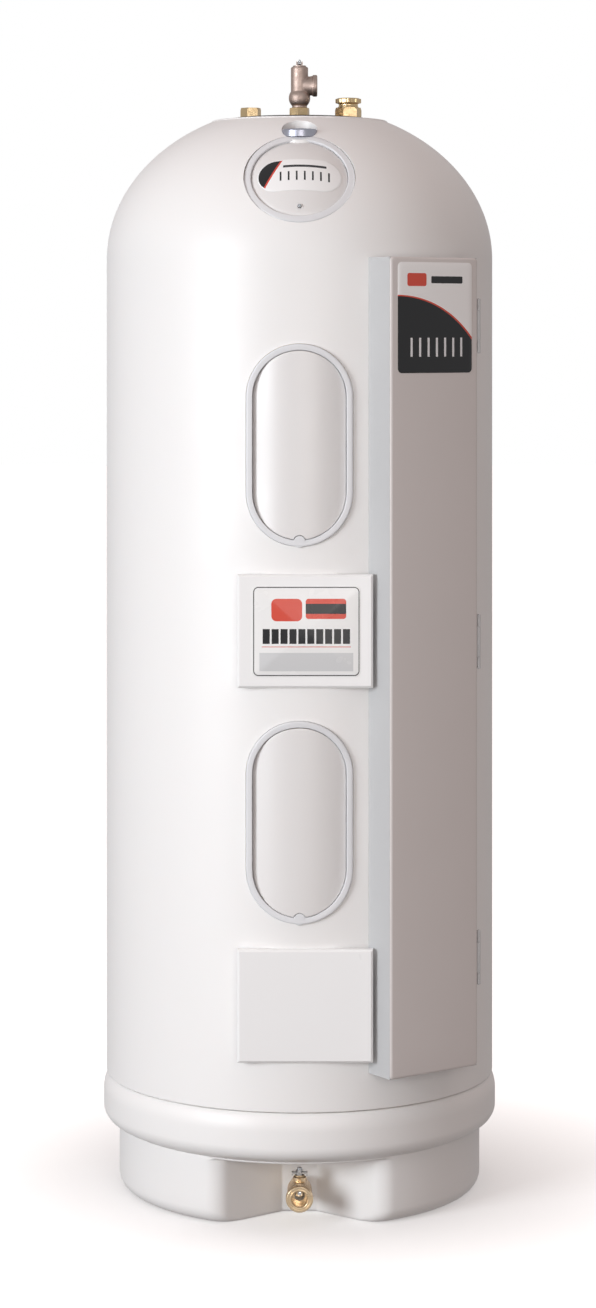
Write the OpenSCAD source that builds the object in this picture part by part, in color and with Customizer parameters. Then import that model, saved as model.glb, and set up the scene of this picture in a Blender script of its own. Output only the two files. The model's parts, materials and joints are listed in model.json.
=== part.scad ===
// Electric tank water heater in a moulded plastic jacket, with a surface-mounted control box.
// Z = 0 is the floor, the tank's axis is the Z axis, and the front faces -Y.

/* [Jacket] */
// Outside diameter of the jacket
body_d = 690; // [680:1:700]
// Height of the jacket's top rim above the floor
rim_z = 1898; // [1890:1:1906]
// Height of the domed top
dome_h = 275; // [270:1:280]
// Wall of the moulded jacket
jacket_wall = 4; // [3:0.5:5]
// Radius of the opening in the top of the jacket
top_open_r = 154; // [150:1:158]

/* [Base] */
// Outside diameter of the plinth under the roll
plinth_d = 644; // [638:1:648]
// Height of the plinth
plinth_h = 120; // [116:1:124]
// Outside diameter of the roll around the base
roll_d = 700; // [698:1:704]
// Height at which the roll meets the jacket
roll_top = 205; // [200:1:210]
// Wall of the moulded base
base_wall = 5; // [4:0.5:6]

/* [Drain recess] */
// Half width of the flat panel at the back of the recess
recess_half = 30; // [28:1:32]
// Distance from the tank's axis to the flat panel
recess_y = 205; // [203:1:208]
// Rounding of the plinth beside the recess
recess_round = 35; // [30:1:38]
// Height of the drain valve's axis
drain_z = 50; // [48:1:54]

/* [Tank] */
// Outside diameter of the wound tank
tank_d = 552; // [546:2:554]
// Bottom of the tank
tank_bottom = 170; // [168:1:176]
// Top of the tank
tank_top = 1806; // [1800:1:1808]

/* [Access covers] */
// Width of the oval frame around each cover
oval_w = 181; // [178:1:184]
// Height of the oval frame around each cover
oval_h = 342; // [338:1:346]
// Visible width of the frame's ring
oval_ring = 11; // [10:0.5:12]
// Height of the middle of the upper cover
upper_z = 1331; // [1326:1:1336]
// Height of the middle of the lower cover
lower_z = 695; // [690:1:700]

/* [Control box] */
// Angle of the box around the tank, from the front
box_angle = 35.4; // [34.5:0.1:36]
// Width of the box
box_w = 186; // [184:1:188]
// Distance from the tank's axis to the door's front
box_front = 398; // [396:1:402]
// Bottom of the box
box_z0 = 268; // [264:1:272]
// Top of the box
box_z1 = 1648; // [1644:1:1650]

/* [Front plates] */
// Width of the two flat plates
plate_w = 229; // [224:1:230]
// Height of the two flat plates
plate_h = 191; // [186:1:194]
// Height of the middle of the rating plate
rating_z = 1018; // [1014:1:1022]
// Height of the middle of the blank plate
blank_z = 387; // [384:1:390]

/* [Hidden] */
$fn = 64;
fine = 256;

body_r = body_d / 2;
plinth_r = plinth_d / 2;
roll_r = roll_d / 2;
tank_r = tank_d / 2;
gap = 0.4;
dome_z = rim_z - dome_h * sqrt(1 - pow(top_open_r / body_r, 2));
tank_wall = 5;
liner_wall = 4;
tank_low_b = 130;
tank_high_b = 150;

// The well behind each oval cover
well_w = oval_w - 2 * oval_ring;
well_h = oval_h - 2 * oval_ring;
well_back = 281;
frame_proud = 6;
cover_r = 155;
cover_front = body_r + 7;
element_drop = 85;
thermostat_rise = 45;

// The round junction cover sits on the dome and faces forwards and up
junction_tilt = 36.5;
junction_y = 281;
junction_z = 1783;
junction_r = 95;
junction_ring = 12;
cup_depth = 55;
hub_y = 205;
hub_r = 30.5;
hub_top = 1872;

// Fittings on the top, in a row across the tank
port_x = 87.5;
port_bore = 13.25;
port_floor = 1900;
nipple_bore = 11.2;
disc_top = 1901;
cold_hex_r = 18.8;
hot_hex_r = 24;

// Relief valve heights
relief_seat = 1937;
barrel_top = 1997;
outlet_z = 1963;
barrel_r = 15.5;
lever_y = -6;
lever_z = 2003;

// Drain ball valve, along Y
ball_y = -262;
ball_r = 16.5;
ball_bore = 9;
stem_r = 4;
run_gap = 0.05;

// Control box, in its own frame: x across the face, -y out of the face
box_half = box_w / 2;
door_t = 6;
sheet = 2;
box_back = body_r + 4;
box_lip = box_front - door_t - 0.5;
hinge_x = box_half + 4.5;
hinge_y = box_lip + 0.25;
hinge_heights = [box_z0 + 150, (box_z0 + box_z1) / 2, box_z1 - 150];

plate_x = 9.5;
plate_front = 355;
plate_back = 340;

white_plastic = "whitesmoke";
grey_plastic = "gainsboro";
brass = "goldenrod";
bronze = "rosybrown";

// Half an ellipse of revolution's edge, from the equator to radius stop_r
function dome_edge(r, b, z0, stop_r, n = 36) = let(last = acos(stop_r / r))
    [for (i = [0:n]) [r * cos(last * i / n), z0 + b * sin(last * i / n)]];

// Points of a circular arc
function arc_points(c, r, a0, a1, n = 8) =
    [for (i = [0:n]) c + r * [cos(a0 + (a1 - a0) * i / n), sin(a0 + (a1 - a0) * i / n)]];

function reversed(list) = [for (i = [len(list) - 1:-1:0]) list[i]];

module at_box() {
    rotate([0, 0, box_angle]) children();
}

module along_y(y_from, y_to, x = 0, z = 0) {
    translate([x, y_to, z]) rotate([90, 0, 0]) linear_extrude(height = y_to - y_from) children();
}

module oval(w, h) {
    square([w, h - w], center = true);
    for (side = [-1, 1]) translate([0, side * (h - w) / 2]) circle(d = w);
}

module round_rect(w, h, r) {
    square([w - 2 * r, h], center = true);
    square([w, h - 2 * r], center = true);
    for (sx = [-1, 1], sy = [-1, 1]) translate([sx * (w / 2 - r), sy * (h / 2 - r)]) circle(r);
}

module tube(z0, z1, r_out, r_in) {
    translate([0, 0, z0]) linear_extrude(height = z1 - z0) difference() {
        circle(r_out);
        circle(r_in);
    }
}

// Straight round bar between two points
module rod(from, to, r) {
    d = to - from;
    flat = norm([d[0], d[1]]);
    translate(from) rotate([0, atan2(flat, d[2]), atan2(d[1], d[0])]) cylinder(r = r, h = norm(d));
}

module at_junction() {
    translate([0, -junction_y, junction_z]) rotate([90 - junction_tilt, 0, 0]) children();
}

// Outline of the base in section, moved in by a wall
module base_section(inset) {
    foot = 26;
    hip = 14;
    polygon(concat(
        [[0, inset], [plinth_r - foot, inset]],
        arc_points([plinth_r - foot, foot], foot - inset, -90, 0),
        [[plinth_r - inset, plinth_h - 6 + inset]],
        arc_points([roll_r - hip - 12, plinth_h + hip + 12], hip + 12 - inset, -60, 0),
        arc_points([roll_r - 60, roll_top - 32], 60 - inset, 0, 27),
        [[body_r - inset - 1, roll_top], [0, roll_top]]));
}

// Plan of the recess in the front of the plinth, grown by a wall
facet_dir = [0.794, -0.608];
facet_out = [0.608, 0.794];
function recess_start(g) = [recess_half + (g - g * facet_out[1]) / facet_out[0], -recess_y + g];
function recess_centre() = let(a = [recess_half, -recess_y] + recess_round * facet_out,
    along = a * facet_dir, reach = plinth_r - recess_round)
    a + facet_dir * (-along + sqrt(along * along - a * a + reach * reach));
function recess_side(g) = let(c = recess_centre(), a0 = atan2(-facet_out[1], -facet_out[0]),
    a1 = atan2(c[1], c[0])) concat([recess_start(g)], arc_points(c, recess_round - g, a0, a1),
    [(plinth_r + 60) * [cos(a1), sin(a1)]]);

module recess(g) {
    half = recess_side(g);
    translate([0, 0, -20]) linear_extrude(height = plinth_h + 12 + g)
        polygon(concat(half, [for (p = reversed(half)) [-p[0], p[1]]]));
}

module base_bowl() {
    color(white_plastic) difference() {
        rotate_extrude() base_section(0);
        difference() {
            rotate_extrude() base_section(base_wall);
            recess(base_wall);
            translate([0, 0, roll_top - 6]) difference() {
                cylinder(r = roll_r + 10, h = 20);
                translate([0, 0, -1]) cylinder(r = body_r - jacket_wall - 1, h = 22);
            }
        }
        translate([0, 0, roll_top - 5.9]) cylinder(r = body_r - jacket_wall - 1.2, h = 20);
        recess(0);
        along_y(-recess_y - 5, -recess_y + base_wall + 5, 0, drain_z) circle(14);
    }
}

module jacket_shell() {
    inner_r = body_r - jacket_wall;
    color(white_plastic) difference() {
        rotate_extrude() polygon(concat(
            [[inner_r, roll_top + 0.1], [body_r, roll_top + 0.1]],
            dome_edge(body_r, dome_h, dome_z, top_open_r + gap),
            reversed(dome_edge(inner_r, dome_h - jacket_wall, dome_z, top_open_r + gap))));
        for (z = [upper_z, lower_z]) along_y(-body_r - 10, -200, 0, z) oval(oval_w + 1, oval_h + 1);
        at_junction() translate([0, 0, -70]) cylinder(r = junction_r + 0.5, h = 120);
        translate([0, -hub_y, 1780]) cylinder(r = hub_r + 0.7, h = 150);
        at_box() for (z = cable_heights()) along_y(-body_r - 10, -300, 0, z) circle(12);
    }
}

module top_rim() {
    r = top_open_r;
    color(white_plastic) rotate_extrude() polygon([[118, rim_z - 10], [r - 4, rim_z - 10],
        [r - 0.4, rim_z - 6], [r - 1, rim_z - 4], [r - 4, rim_z - 0.5], [118, rim_z - 0.5]]);
}

module port_holes(r_hot, r_other) {
    for (x = [-port_x, 0, port_x]) translate([x, 0, tank_top - 60])
        cylinder(r = x > 0 ? r_hot : r_other, h = 190);
}

module top_gasket() {
    color("black") difference() {
        translate([0, 0, rim_z - 0.3]) cylinder(r = 125, h = disc_top - rim_z + 0.3);
        port_holes(17.5, 17.5);
    }
}

module tank_solid(inset) {
    r = tank_r - inset;
    low = tank_bottom + tank_low_b;
    high = tank_top - tank_high_b;
    rotate_extrude() polygon(concat(
        [for (p = reversed(dome_edge(r, tank_low_b - inset, 0, 0))) [p[0], low - p[1]]],
        dome_edge(r, tank_high_b - inset, high, 0)));
}

function cable_heights() = [lower_z, upper_z, 1575];

module foam_insulation() {
    r = body_r - jacket_wall - 1.5;
    color("khaki") difference() {
        union() {
            translate([0, 0, roll_top]) rotate_extrude() polygon(concat([[0, 0], [r, 0]],
                [for (p = dome_edge(r, dome_h - jacket_wall - 2, dome_z, 117)) p - [0, roll_top]],
                [[0, 1882 - roll_top]]));
            difference() {
                rotate_extrude() base_section(base_wall + 1.5);
                translate([0, 0, roll_top - 7.5]) difference() {
                    cylinder(r = roll_r + 10, h = 20);
                    translate([0, 0, -1]) cylinder(r = r - 1.5, h = 22);
                }
            }
        }
        tank_solid(-0.5);
        translate([0, 0, rim_z - 10.5]) cylinder(r = 200, h = 40);
        recess(base_wall + 1.5);
        for (z = [upper_z, lower_z]) {
            along_y(-body_r - 10, -well_back + 0.5, 0, z) oval(oval_w + 1, oval_h + 1);
            translate([0, 0, z]) element_axis() cylinder(r = 34, h = 60, center = true);
            translate([-36, -well_back - 2, z + thermostat_rise - 44]) cube([72, 30, 88]);
        }
        at_junction() translate([0, 0, -cup_depth - 3]) cylinder(r = junction_r + 1, h = 180);
        translate([0, -hub_y, 1780]) cylinder(r = hub_r + 1, h = 150);
        port_holes(26, 22);
        drain_path(15);
        conduit_path(9.5);
        for (z = [lower_z, upper_z]) well_cable(z, 8.5);
        at_box() for (z = cable_heights()) along_y(-body_r - 10, -300, 0, z) circle(12);
    }
}

module tank_wall_between(outer, inner) {
    difference() {
        tank_solid(outer);
        tank_solid(inner);
        port_holes(17.2, 17.2);
        translate([0, 0, tank_bottom - 20]) cylinder(r = 13.6, h = 60);
        for (z = [upper_z, lower_z]) translate([0, 0, z]) element_axis() cylinder(r = 17, h = 60, center = true);
    }
}

module tank_overwrap() {
    color("peru") tank_wall_between(0, tank_wall);
}

module tank_liner() {
    color("ivory") tank_wall_between(tank_wall + 0.3, tank_wall + liner_wall);
}

// Hex head with a port in its top, on a nipple that reaches the tank
module hex_fitting(x, hex_r, hex_top, turn, bore) {
    head = hex_top - disc_top - 0.2;
    translate([x, 0, 0]) difference() {
        union() {
            translate([0, 0, disc_top + 0.2]) rotate([0, 0, turn]) intersection() {
                cylinder(r = hex_r, h = head, $fn = 6);
                cylinder(r1 = hex_r + 6, r2 = hex_r * 0.93, h = head);
            }
            translate([0, 0, tank_top - 25]) cylinder(r = 17, h = disc_top - tank_top + 25.3);
        }
        translate([0, 0, tank_top - 30]) cylinder(r = nipple_bore, h = 140);
        translate([0, 0, port_floor]) cylinder(r = bore, h = 60);
    }
}

module cold_inlet() {
    color(brass) hex_fitting(-port_x, cold_hex_r, 1923, 12, port_bore);
}

module dip_tube() {
    color("seashell") translate([-port_x, 0, 0]) difference() {
        union() {
            translate([0, 0, 330]) cylinder(r = 10.5, h = port_floor - 332);
            translate([0, 0, port_floor - 5]) cylinder(r = nipple_bore - 0.1, h = 4);
        }
        translate([0, 0, 325]) cylinder(r = 8.5, h = 1600);
        translate([0, 0, tank_top - 56]) rotate([90, 0, 0]) cylinder(r = 1.6, h = 40, center = true);
    }
}

module hot_outlet() {
    color(brass) hex_fitting(port_x, hot_hex_r, 1923.5, 8, 15);
}

// Nipple and lobed cap on the hot outlet
module outlet_union() {
    color(brass) translate([port_x, 0, 0]) difference() {
        union() {
            translate([0, 0, port_floor + 0.3]) cylinder(r = 14.9, h = 23.5);
            rotate_extrude() polygon([[0, 1923.7], [18.5, 1923.7], [17.2, 1927], [17.2, 1930],
                [21, 1931.5], [21, 1939], [19.5, 1940.5], [0, 1940.5]]);
            for (i = [0:7]) rotate([0, 0, 45 * i]) translate([18.5, 0, 1931.5]) cylinder(r = 4.6, h = 8);
        }
        translate([0, 0, 1895]) cylinder(r = 10.5, h = 30);
        translate([0, 0, 1920.5]) cylinder(r = port_bore, h = 25);
    }
}

module relief_spud() {
    color(brass) hex_fitting(0, 19, 1923, 20, 12);
}

module relief_body() {
    color(bronze) difference() {
        union() {
            translate([0, 0, 1902]) cylinder(r = 11.9, h = 26);
            rotate_extrude() polygon([[0, 1923.2], [13.5, 1923.2], [13.5, 1926], [11.8, 1927.5],
                [11.8, 1929], [0, 1929]]);
            rotate_extrude() polygon(concat([[0, 1926]], arc_points([0, 1941], 19.3, -45, 50, 16), [[0, 1956]]));
            translate([0, 0, 1950]) cylinder(r = barrel_r, h = barrel_top - 1950 - 2);
            translate([0, 0, barrel_top - 2]) cylinder(r1 = barrel_r, r2 = barrel_r - 2, h = 2);
            translate([0, 0, outlet_z]) rotate([0, 90, 0]) {
                cylinder(r1 = 13.5, r2 = 18, h = 24);
                translate([0, 0, 24]) cylinder(r = 19.5, h = 6.5);
                translate([0, 0, 30.5]) cylinder(r1 = 19.5, r2 = 18, h = 1.5);
            }
        }
        translate([0, 0, 1900]) cylinder(r = 8, h = 60);
        translate([0, 0, relief_seat]) cylinder(r = 11.8, h = barrel_top - relief_seat + 5);
        translate([0, 0, outlet_z]) rotate([0, 90, 0]) {
            cylinder(r = 10, h = 40);
            translate([0, 0, 16]) cylinder(r = 12.1, h = 40);
        }
    }
}

module relief_bonnet() {
    color(bronze) difference() {
        union() {
            translate([0, 0, barrel_top - 10]) cylinder(r = 11.7, h = 12);
            for (side = [-1, 1]) translate([side * 4.7 - 0.9, lever_y - 3, barrel_top + 2]) cube([1.8, 6, 7]);
            for (side = [-1, 1]) translate([side * 4.7, lever_y, lever_z]) rotate([0, 90, 0])
                cylinder(r = 3, h = 1.8, center = true);
        }
        translate([0, 0, barrel_top - 20]) cylinder(r = 2.45, h = 30);
        translate([0, lever_y, lever_z]) rotate([0, 90, 0]) cylinder(r = 1.2, h = 20, center = true);
    }
}

module relief_probe() {
    color("silver") {
        translate([0, 0, 1690]) cylinder(r = 4.5, h = 238);
        difference() {
            translate([0, 0, 1926]) cylinder(r = 7.8, h = 2);
            for (i = [0:2]) rotate([0, 0, 120 * i]) translate([6.2, 0, 1925]) cylinder(r = 1.3, h = 5);
        }
    }
}

// A coil spring swept along its helix
module coil_spring(z0, z1, coil_r, wire_r, turns) {
    sides = 8;
    steps = 12 * turns;
    function ring(i) = let(a = 360 * turns * i / steps, z = z0 + wire_r + (z1 - z0 - 2 * wire_r) * i / steps)
        [for (k = [0:sides - 1]) let(b = 360 * k / sides)
            [(coil_r + wire_r * cos(b)) * cos(a), (coil_r + wire_r * cos(b)) * sin(a), z + wire_r * sin(b)]];
    points = [for (i = [0:steps], p = ring(i)) p];
    walls = [for (i = [0:steps - 1], k = [0:sides - 1]) let(n = (k + 1) % sides)
        [i * sides + k, i * sides + n, (i + 1) * sides + n, (i + 1) * sides + k]];
    first = [for (k = [sides - 1:-1:0]) k];
    last = [for (k = [0:sides - 1]) steps * sides + k];
    polyhedron(points, concat([for (w = walls) reversed(w)], [reversed(first)], [reversed(last)]));
}

module relief_spring() {
    color("silver") coil_spring(relief_seat + 4.5, barrel_top - 10.5, 8.5, 1.2, 7);
}

module relief_stem() {
    color("silver") {
        translate([0, 0, relief_seat + 0.3]) cylinder(r = 10.5, h = 3);
        translate([0, 0, relief_seat + 1]) cylinder(r = 2.4, h = 2008.5 - relief_seat - 1);
        translate([0, 0, 2004.4]) cylinder(r = 3.2, h = 2);
        translate([0, 0, 2008]) cylinder(r = 1.6, h = 2);
    }
}

module relief_lever() {
    color("silver") difference() {
        union() {
            translate([-3.6, lever_y, lever_z]) rotate([0, 90, 0]) cylinder(r = 2.4, h = 7.2);
            translate([-3.6, lever_y, lever_z - 0.2]) cube([7.2, 16, 1.2]);
            translate([-5.5, 9.9, lever_z - 0.2]) cube([11, 25, 1.2]);
            for (side = [-1, 1]) translate([side * 5 - 0.5, 9.9, lever_z - 3]) cube([1, 25, 3]);
        }
        translate([0, lever_y, lever_z]) rotate([0, 90, 0]) cylinder(r = 1.2 + run_gap, h = 20, center = true);
        translate([-2.7, -3.4, lever_z - 5]) cube([5.4, 8.6, 10]);
        translate([0, 30, lever_z]) cylinder(r = 2, h = 10, center = true);
    }
}

module relief_lever_pin() {
    color("silver") translate([-6, lever_y, lever_z]) rotate([0, 90, 0]) cylinder(r = 1.2, h = 12);
}

// Route of the drain, from the bottom of the tank to the front panel
module drain_path(r) {
    translate([0, 0, drain_z]) cylinder(r = r, h = tank_bottom + 12 - drain_z);
    translate([0, 0, drain_z]) sphere(r);
    along_y(-236, 0, 0, drain_z) circle(r);
}

module drain_tube() {
    color(brass) difference() {
        drain_path(13.3);
        translate([0, 0, drain_z]) cylinder(r = 10, h = 200);
        translate([0, 0, drain_z]) sphere(10);
        along_y(-250, 0, 0, drain_z) circle(10);
    }
}

module turned_y(y0) {
    translate([0, y0, drain_z]) rotate([90, 0, 0]) children();
}

module drain_valve_body() {
    color(brass) difference() {
        union() {
            turned_y(-222) cylinder(r = 19.5, h = 14, $fn = 6);
            turned_y(-236) cylinder(r1 = 18, r2 = 21, h = 8);
            turned_y(-244) cylinder(r = 21, h = 38);
            turned_y(-282) cylinder(r1 = 21, r2 = 20, h = 4);
            translate([0, ball_y, drain_z]) cylinder(r = 11.5, h = 26);
            translate([0, ball_y, drain_z + 26]) cylinder(r1 = 11.5, r2 = 8.5, h = 2);
            translate([0, ball_y, drain_z + 27]) cylinder(r = 8.5, h = 2.4);
        }
        turned_y(-220) cylinder(r = 13.35, h = 18);
        turned_y(-220) cylinder(r = 10, h = 40);
        turned_y(-244) cylinder(r = 17.2, h = 60);
        translate([0, ball_y, drain_z]) cylinder(r = stem_r + run_gap, h = 60);
    }
}

module drain_valve_end() {
    color(brass) turned_y(-280) difference() {
        union() {
            cylinder(r = 17.1, h = 8);
            translate([0, 0, 6.3]) cylinder(r = 19.5, h = 8);
            translate([0, 0, 13]) cylinder(r1 = 19.5, r2 = 23.2, h = 4);
            translate([0, 0, 17]) cylinder(r = 23.2, h = 10);
            translate([0, 0, 27]) cylinder(r1 = 23.2, r2 = 21, h = 3);
        }
        translate([0, 0, -5]) cylinder(r = ball_bore, h = 40);
        translate([0, 0, 6]) cylinder(r = port_bore, h = 40);
        translate([0, 0, 29]) difference() {
            cylinder(r = 18.4, h = 3);
            cylinder(r = 16.2, h = 3);
        }
        translate([0, 0, 28.6]) cylinder(r1 = port_bore, r2 = port_bore + 1.4, h = 1.4);
    }
}

module drain_seats() {
    color("white") difference() {
        union() {
            turned_y(-244.1) cylinder(r = 17.1, h = 8);
            turned_y(-271.9) cylinder(r = 17.1, h = 8);
        }
        translate([0, ball_y, drain_z]) sphere(ball_r + run_gap);
        turned_y(-240) cylinder(r = ball_bore, h = 50);
    }
}

module drain_ball() {
    color("lightgrey") difference() {
        translate([0, ball_y, drain_z]) sphere(ball_r);
        translate([0, ball_y, drain_z]) rotate([0, 90, 0]) cylinder(r = ball_bore, h = 50, center = true);
        translate([-6, ball_y - 1.7, drain_z + 12.5]) cube([12, 3.4, 8]);
    }
}

module drain_stem() {
    top = drain_z + 42;
    color("silver") {
        translate([0, ball_y, drain_z + ball_r + 0.6]) cylinder(r = stem_r, h = top - drain_z - ball_r - 0.6);
        intersection() {
            translate([-3.5, ball_y - 1.5, drain_z + 13]) cube([7, 3, 5]);
            translate([0, ball_y, drain_z]) cylinder(r = stem_r, h = 30);
        }
    }
}

module drain_gland_nut() {
    color("silver") translate([0, ball_y, drain_z + 29.5]) difference() {
        cylinder(r = 7.4, h = 2.3, $fn = 6);
        translate([0, 0, -1]) cylinder(r = stem_r + run_gap, h = 10);
    }
}

module drain_handle() {
    color("silver") translate([0, ball_y, drain_z + 32.2]) difference() {
        union() {
            translate([-13.5, -6, 0]) cube([27, 12, 2.4]);
            for (side = [-1, 1]) translate([side * 12.5 - 1, -5, -4]) cube([2, 10, 5]);
            translate([0, 0, 2.4]) cylinder(r = 5.6, h = 4.4, $fn = 6);
        }
        translate([0, 0, -5]) cylinder(r = stem_r + run_gap, h = 20);
    }
}

// Plan of the box, scribed to the jacket behind
module box_plan() {
    difference() {
        translate([-box_half, -box_lip]) square([box_w, box_lip - 300]);
        circle(body_r + 0.5, $fn = fine);
    }
}

module control_box() {
    inner = box_half - sheet;
    color(grey_plastic) at_box() difference() {
        union() {
            translate([0, 0, box_z0 + 1]) linear_extrude(height = box_z1 - box_z0 - 2) difference() {
                box_plan();
                translate([-inner, -box_lip - 10]) square([2 * inner, box_lip + 10 - box_back]);
            }
            for (z = [box_z0, box_z1 - sheet]) translate([0, 0, z]) linear_extrude(height = sheet) box_plan();
        }
        for (z = cable_heights()) along_y(-box_back - 10, -300, 0, z) circle(11);
        translate([0, -box_back - 24, box_z0 - 5]) cylinder(r = 14.1, h = 20);
    }
}

module box_door() {
    edge = 5;
    color(grey_plastic) difference() {
        union() {
            at_box() translate([0, 0, box_z0]) linear_extrude(height = box_z1 - box_z0) polygon(concat(
                [[-box_half, -box_front + door_t]],
                arc_points([-box_half + edge, -box_front + edge], edge, 180, 270),
                arc_points([box_half - edge, -box_front + edge], edge, 270, 360),
                [[box_half, -box_front + door_t]]));
            at_box() for (z = hinge_heights) door_knuckle(z, 8, 60);
        }
        at_box() translate([-box_half + 4, -box_front + 2, box_z0 + 4])
            cube([box_w - 8, door_t, box_z1 - box_z0 - 8]);
        at_box() translate([hinge_x, -hinge_y, box_z0]) cylinder(r = 1.5 + run_gap, h = 1500);
    }
}

// Barrel on the hinge line, joined to the door's edge by a short leaf
module door_knuckle(z, low, high) {
    translate([hinge_x, -hinge_y, z + low]) cylinder(r = 3.2, h = high - low);
    translate([box_half - 3, -hinge_y - 2.2, z + low]) cube([5, 1.8, high - low]);
}

module door_hinges() {
    color("silver") at_box() for (z = hinge_heights) {
        difference() {
            union() {
                for (span = [[-12, 7.5], [60.5, 80]]) {
                    translate([hinge_x, -hinge_y, z + span[0]]) cylinder(r = 3.2, h = span[1] - span[0]);
                    translate([box_half + 0.05, -hinge_y, z + span[0]]) cube([1.5, 14, span[1] - span[0]]);
                    translate([box_half + 0.05, -hinge_y, z + span[0]]) cube([3, 1.5, span[1] - span[0]]);
                }
            }
            translate([hinge_x, -hinge_y, z - 20]) cylinder(r = 1.45, h = 120);
        }
        translate([hinge_x, -hinge_y, z - 13]) cylinder(r = 1.5, h = 94);
    }
}

module door_gasket() {
    color("dimgrey") at_box() translate([0, -box_front + 2.2, (box_z0 + box_z1) / 2]) rotate([90, 0, 0])
        translate([0, 0, -2.5]) linear_extrude(height = 2.4) difference() {
            square([box_w - 9, box_z1 - box_z0 - 9], center = true);
            square([box_w - 23, box_z1 - box_z0 - 23], center = true);
        }
}

module door_label() {
    color("white") at_box() along_y(-box_front - 0.6, -box_front - 0.05, -2, 1546) round_rect(162, 187, 8);
}

module component_panel() {
    color("silver") at_box() along_y(-box_back - 2.4, -box_back - 0.3, 0, 958) difference() {
        square([160, 1300], center = true);
        for (z = cable_heights()) translate([0, z - 958]) circle(13);
    }
}

// Pair of two-pole contactors, each a base, a coil housing and two rows of terminals
module contactors() {
    color("dimgrey") at_box() for (z = [1180, 800]) translate([-27, -box_back - 2.6, z]) {
        translate([0, -16, 0]) cube([54, 16, 86]);
        translate([4, -38, 12]) cube([46, 22.5, 62]);
        for (x = [4, 20, 36], high = [2, 76]) translate([x, -24, high]) cube([14, 8.5, 8]);
    }
}

module terminal_block() {
    color("black") at_box() translate([-60, -box_back - 2.6, 1420]) {
        translate([0, -14, 0]) cube([120, 14, 44]);
        for (i = [0:3]) translate([i * 39, -30, 0]) cube([3, 16.5, 44]);
        for (i = [0:2]) translate([5 + i * 39, -22, 6]) cube([32, 8.5, 32]);
    }
}

module fuse_block() {
    color("dimgrey") at_box() translate([-52, -box_back - 2.6, 980]) {
        translate([0, -12, 0]) cube([104, 12, 90]);
        for (i = [0:2]) translate([18 + i * 34, -22.5, 12]) cylinder(r = 10, h = 66);
    }
}

module ground_lug() {
    color("darkgoldenrod") at_box() translate([55, -box_back - 2.6, 1340]) {
        translate([0, -3, 0]) cube([14, 3, 34]);
        difference() {
            translate([0, -15, 20]) cube([14, 12.5, 14]);
            translate([7, -9, 15]) cylinder(r = 4, h = 30);
        }
        translate([7, -15, 27]) rotate([90, 0, 0]) cylinder(r = 4, h = 5);
    }
}

// Place inside the jacket, at an angle from the front
function in_foam(angle, r, z) = [r * sin(angle), -r * cos(angle), z];

// Loom down the left of the box, with branches out to the two wells
module box_wiring() {
    drop = box_back + 12;
    color("darkred") {
        at_box() for (i = [0:3]) translate([-82 + 4.5 * i, -drop, 520]) cylinder(r = 2, h = 990);
        at_box() for (z = [740, 940, 1100, 1290, 1480])
            translate([-85, -drop - 3.4, z]) cube([20, 1.2, 5]);
        for (z = [lower_z, upper_z]) {
            well_cable(z, 7);
            at_box() translate([-68, -drop, z]) rotate([0, 90, 0]) cylinder(r = 1.6, h = 66);
        }
    }
}

// Cable from the box, through the jacket and into the side of a well
module well_cable(z, r) {
    rod(in_foam(box_angle, box_back + 14, z), in_foam(box_angle, 297, z), r);
    rod(in_foam(box_angle + 1.5, 303, z), [78, -300, z], r - 0.5);
}

// Conduit from the junction cup, down inside the jacket and across to the box
module conduit_path(r) {
    rod([0, -306, 1566], [0, -306, 1712], r);
    rod(in_foam(-1.5, 306, 1575), in_foam(box_angle + 1.5, 306, 1575), r - 0.4);
    rod(in_foam(box_angle, 300, 1575), in_foam(box_angle, box_back + 14, 1575), r);
}

module supply_conduit() {
    color("slategrey") conduit_path(8);
}

module junction_cup() {
    color("silver") difference() {
        at_junction() difference() {
            rotate_extrude() polygon([[0, -cup_depth], [80, -cup_depth], [80, -15], [88, -15],
                [88, -12.2], [78, -12.2], [78, -cup_depth + 2], [0, -cup_depth + 2]]);
            for (side = [-1, 1]) translate([side * 40, 0, -70]) cylinder(r = 2, h = 30);
        }
        translate([0, -hub_y, 1770]) cylinder(r = 25.4, h = 150);
        translate([0, -306, 1640]) cylinder(r = 8.4, h = 80);
    }
}

module junction_frame() {
    color(grey_plastic) difference() {
        at_junction() rotate_extrude() polygon([[junction_r - junction_ring, -12], [junction_r, -12],
            [junction_r, 1.5], [junction_r - 2, 3.5], [junction_r - junction_ring + 1.5, 4.5],
            [junction_r - junction_ring, 3]]);
        translate([0, -hub_y, 1780]) cylinder(r = hub_r + 0.6, h = 150);
    }
}

cap_rise = 19;
module junction_cover() {
    edge_r = junction_r - junction_ring - 0.7;
    ball = (edge_r * edge_r + cap_rise * cap_rise) / (2 * cap_rise);
    color(white_plastic) difference() {
        at_junction() difference() {
            intersection() {
                translate([0, 0, cap_rise - ball]) sphere(ball);
                translate([0, 0, -8]) cylinder(r = edge_r, h = 60);
            }
            intersection() {
                translate([0, 0, cap_rise - ball]) sphere(ball - 3);
                translate([0, 0, -9]) cylinder(r = edge_r - 3, h = 60);
            }
            translate([0, -66, -20]) cylinder(r = 3.2, h = 60);
        }
        translate([0, -hub_y, 1780]) cylinder(r = hub_r + 0.6, h = 150);
    }
}

module junction_badge() {
    edge_r = junction_r - junction_ring - 0.7;
    ball = (edge_r * edge_r + cap_rise * cap_rise) / (2 * cap_rise);
    color("white") at_junction() intersection() {
        translate([0, -4, 0]) linear_extrude(height = 60) rotate([0, 0, 90]) oval(66, 144);
        difference() {
            translate([0, 0, cap_rise - ball]) sphere(ball + 0.7);
            translate([0, 0, cap_rise - ball]) sphere(ball + 0.1);
        }
    }
}

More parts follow.
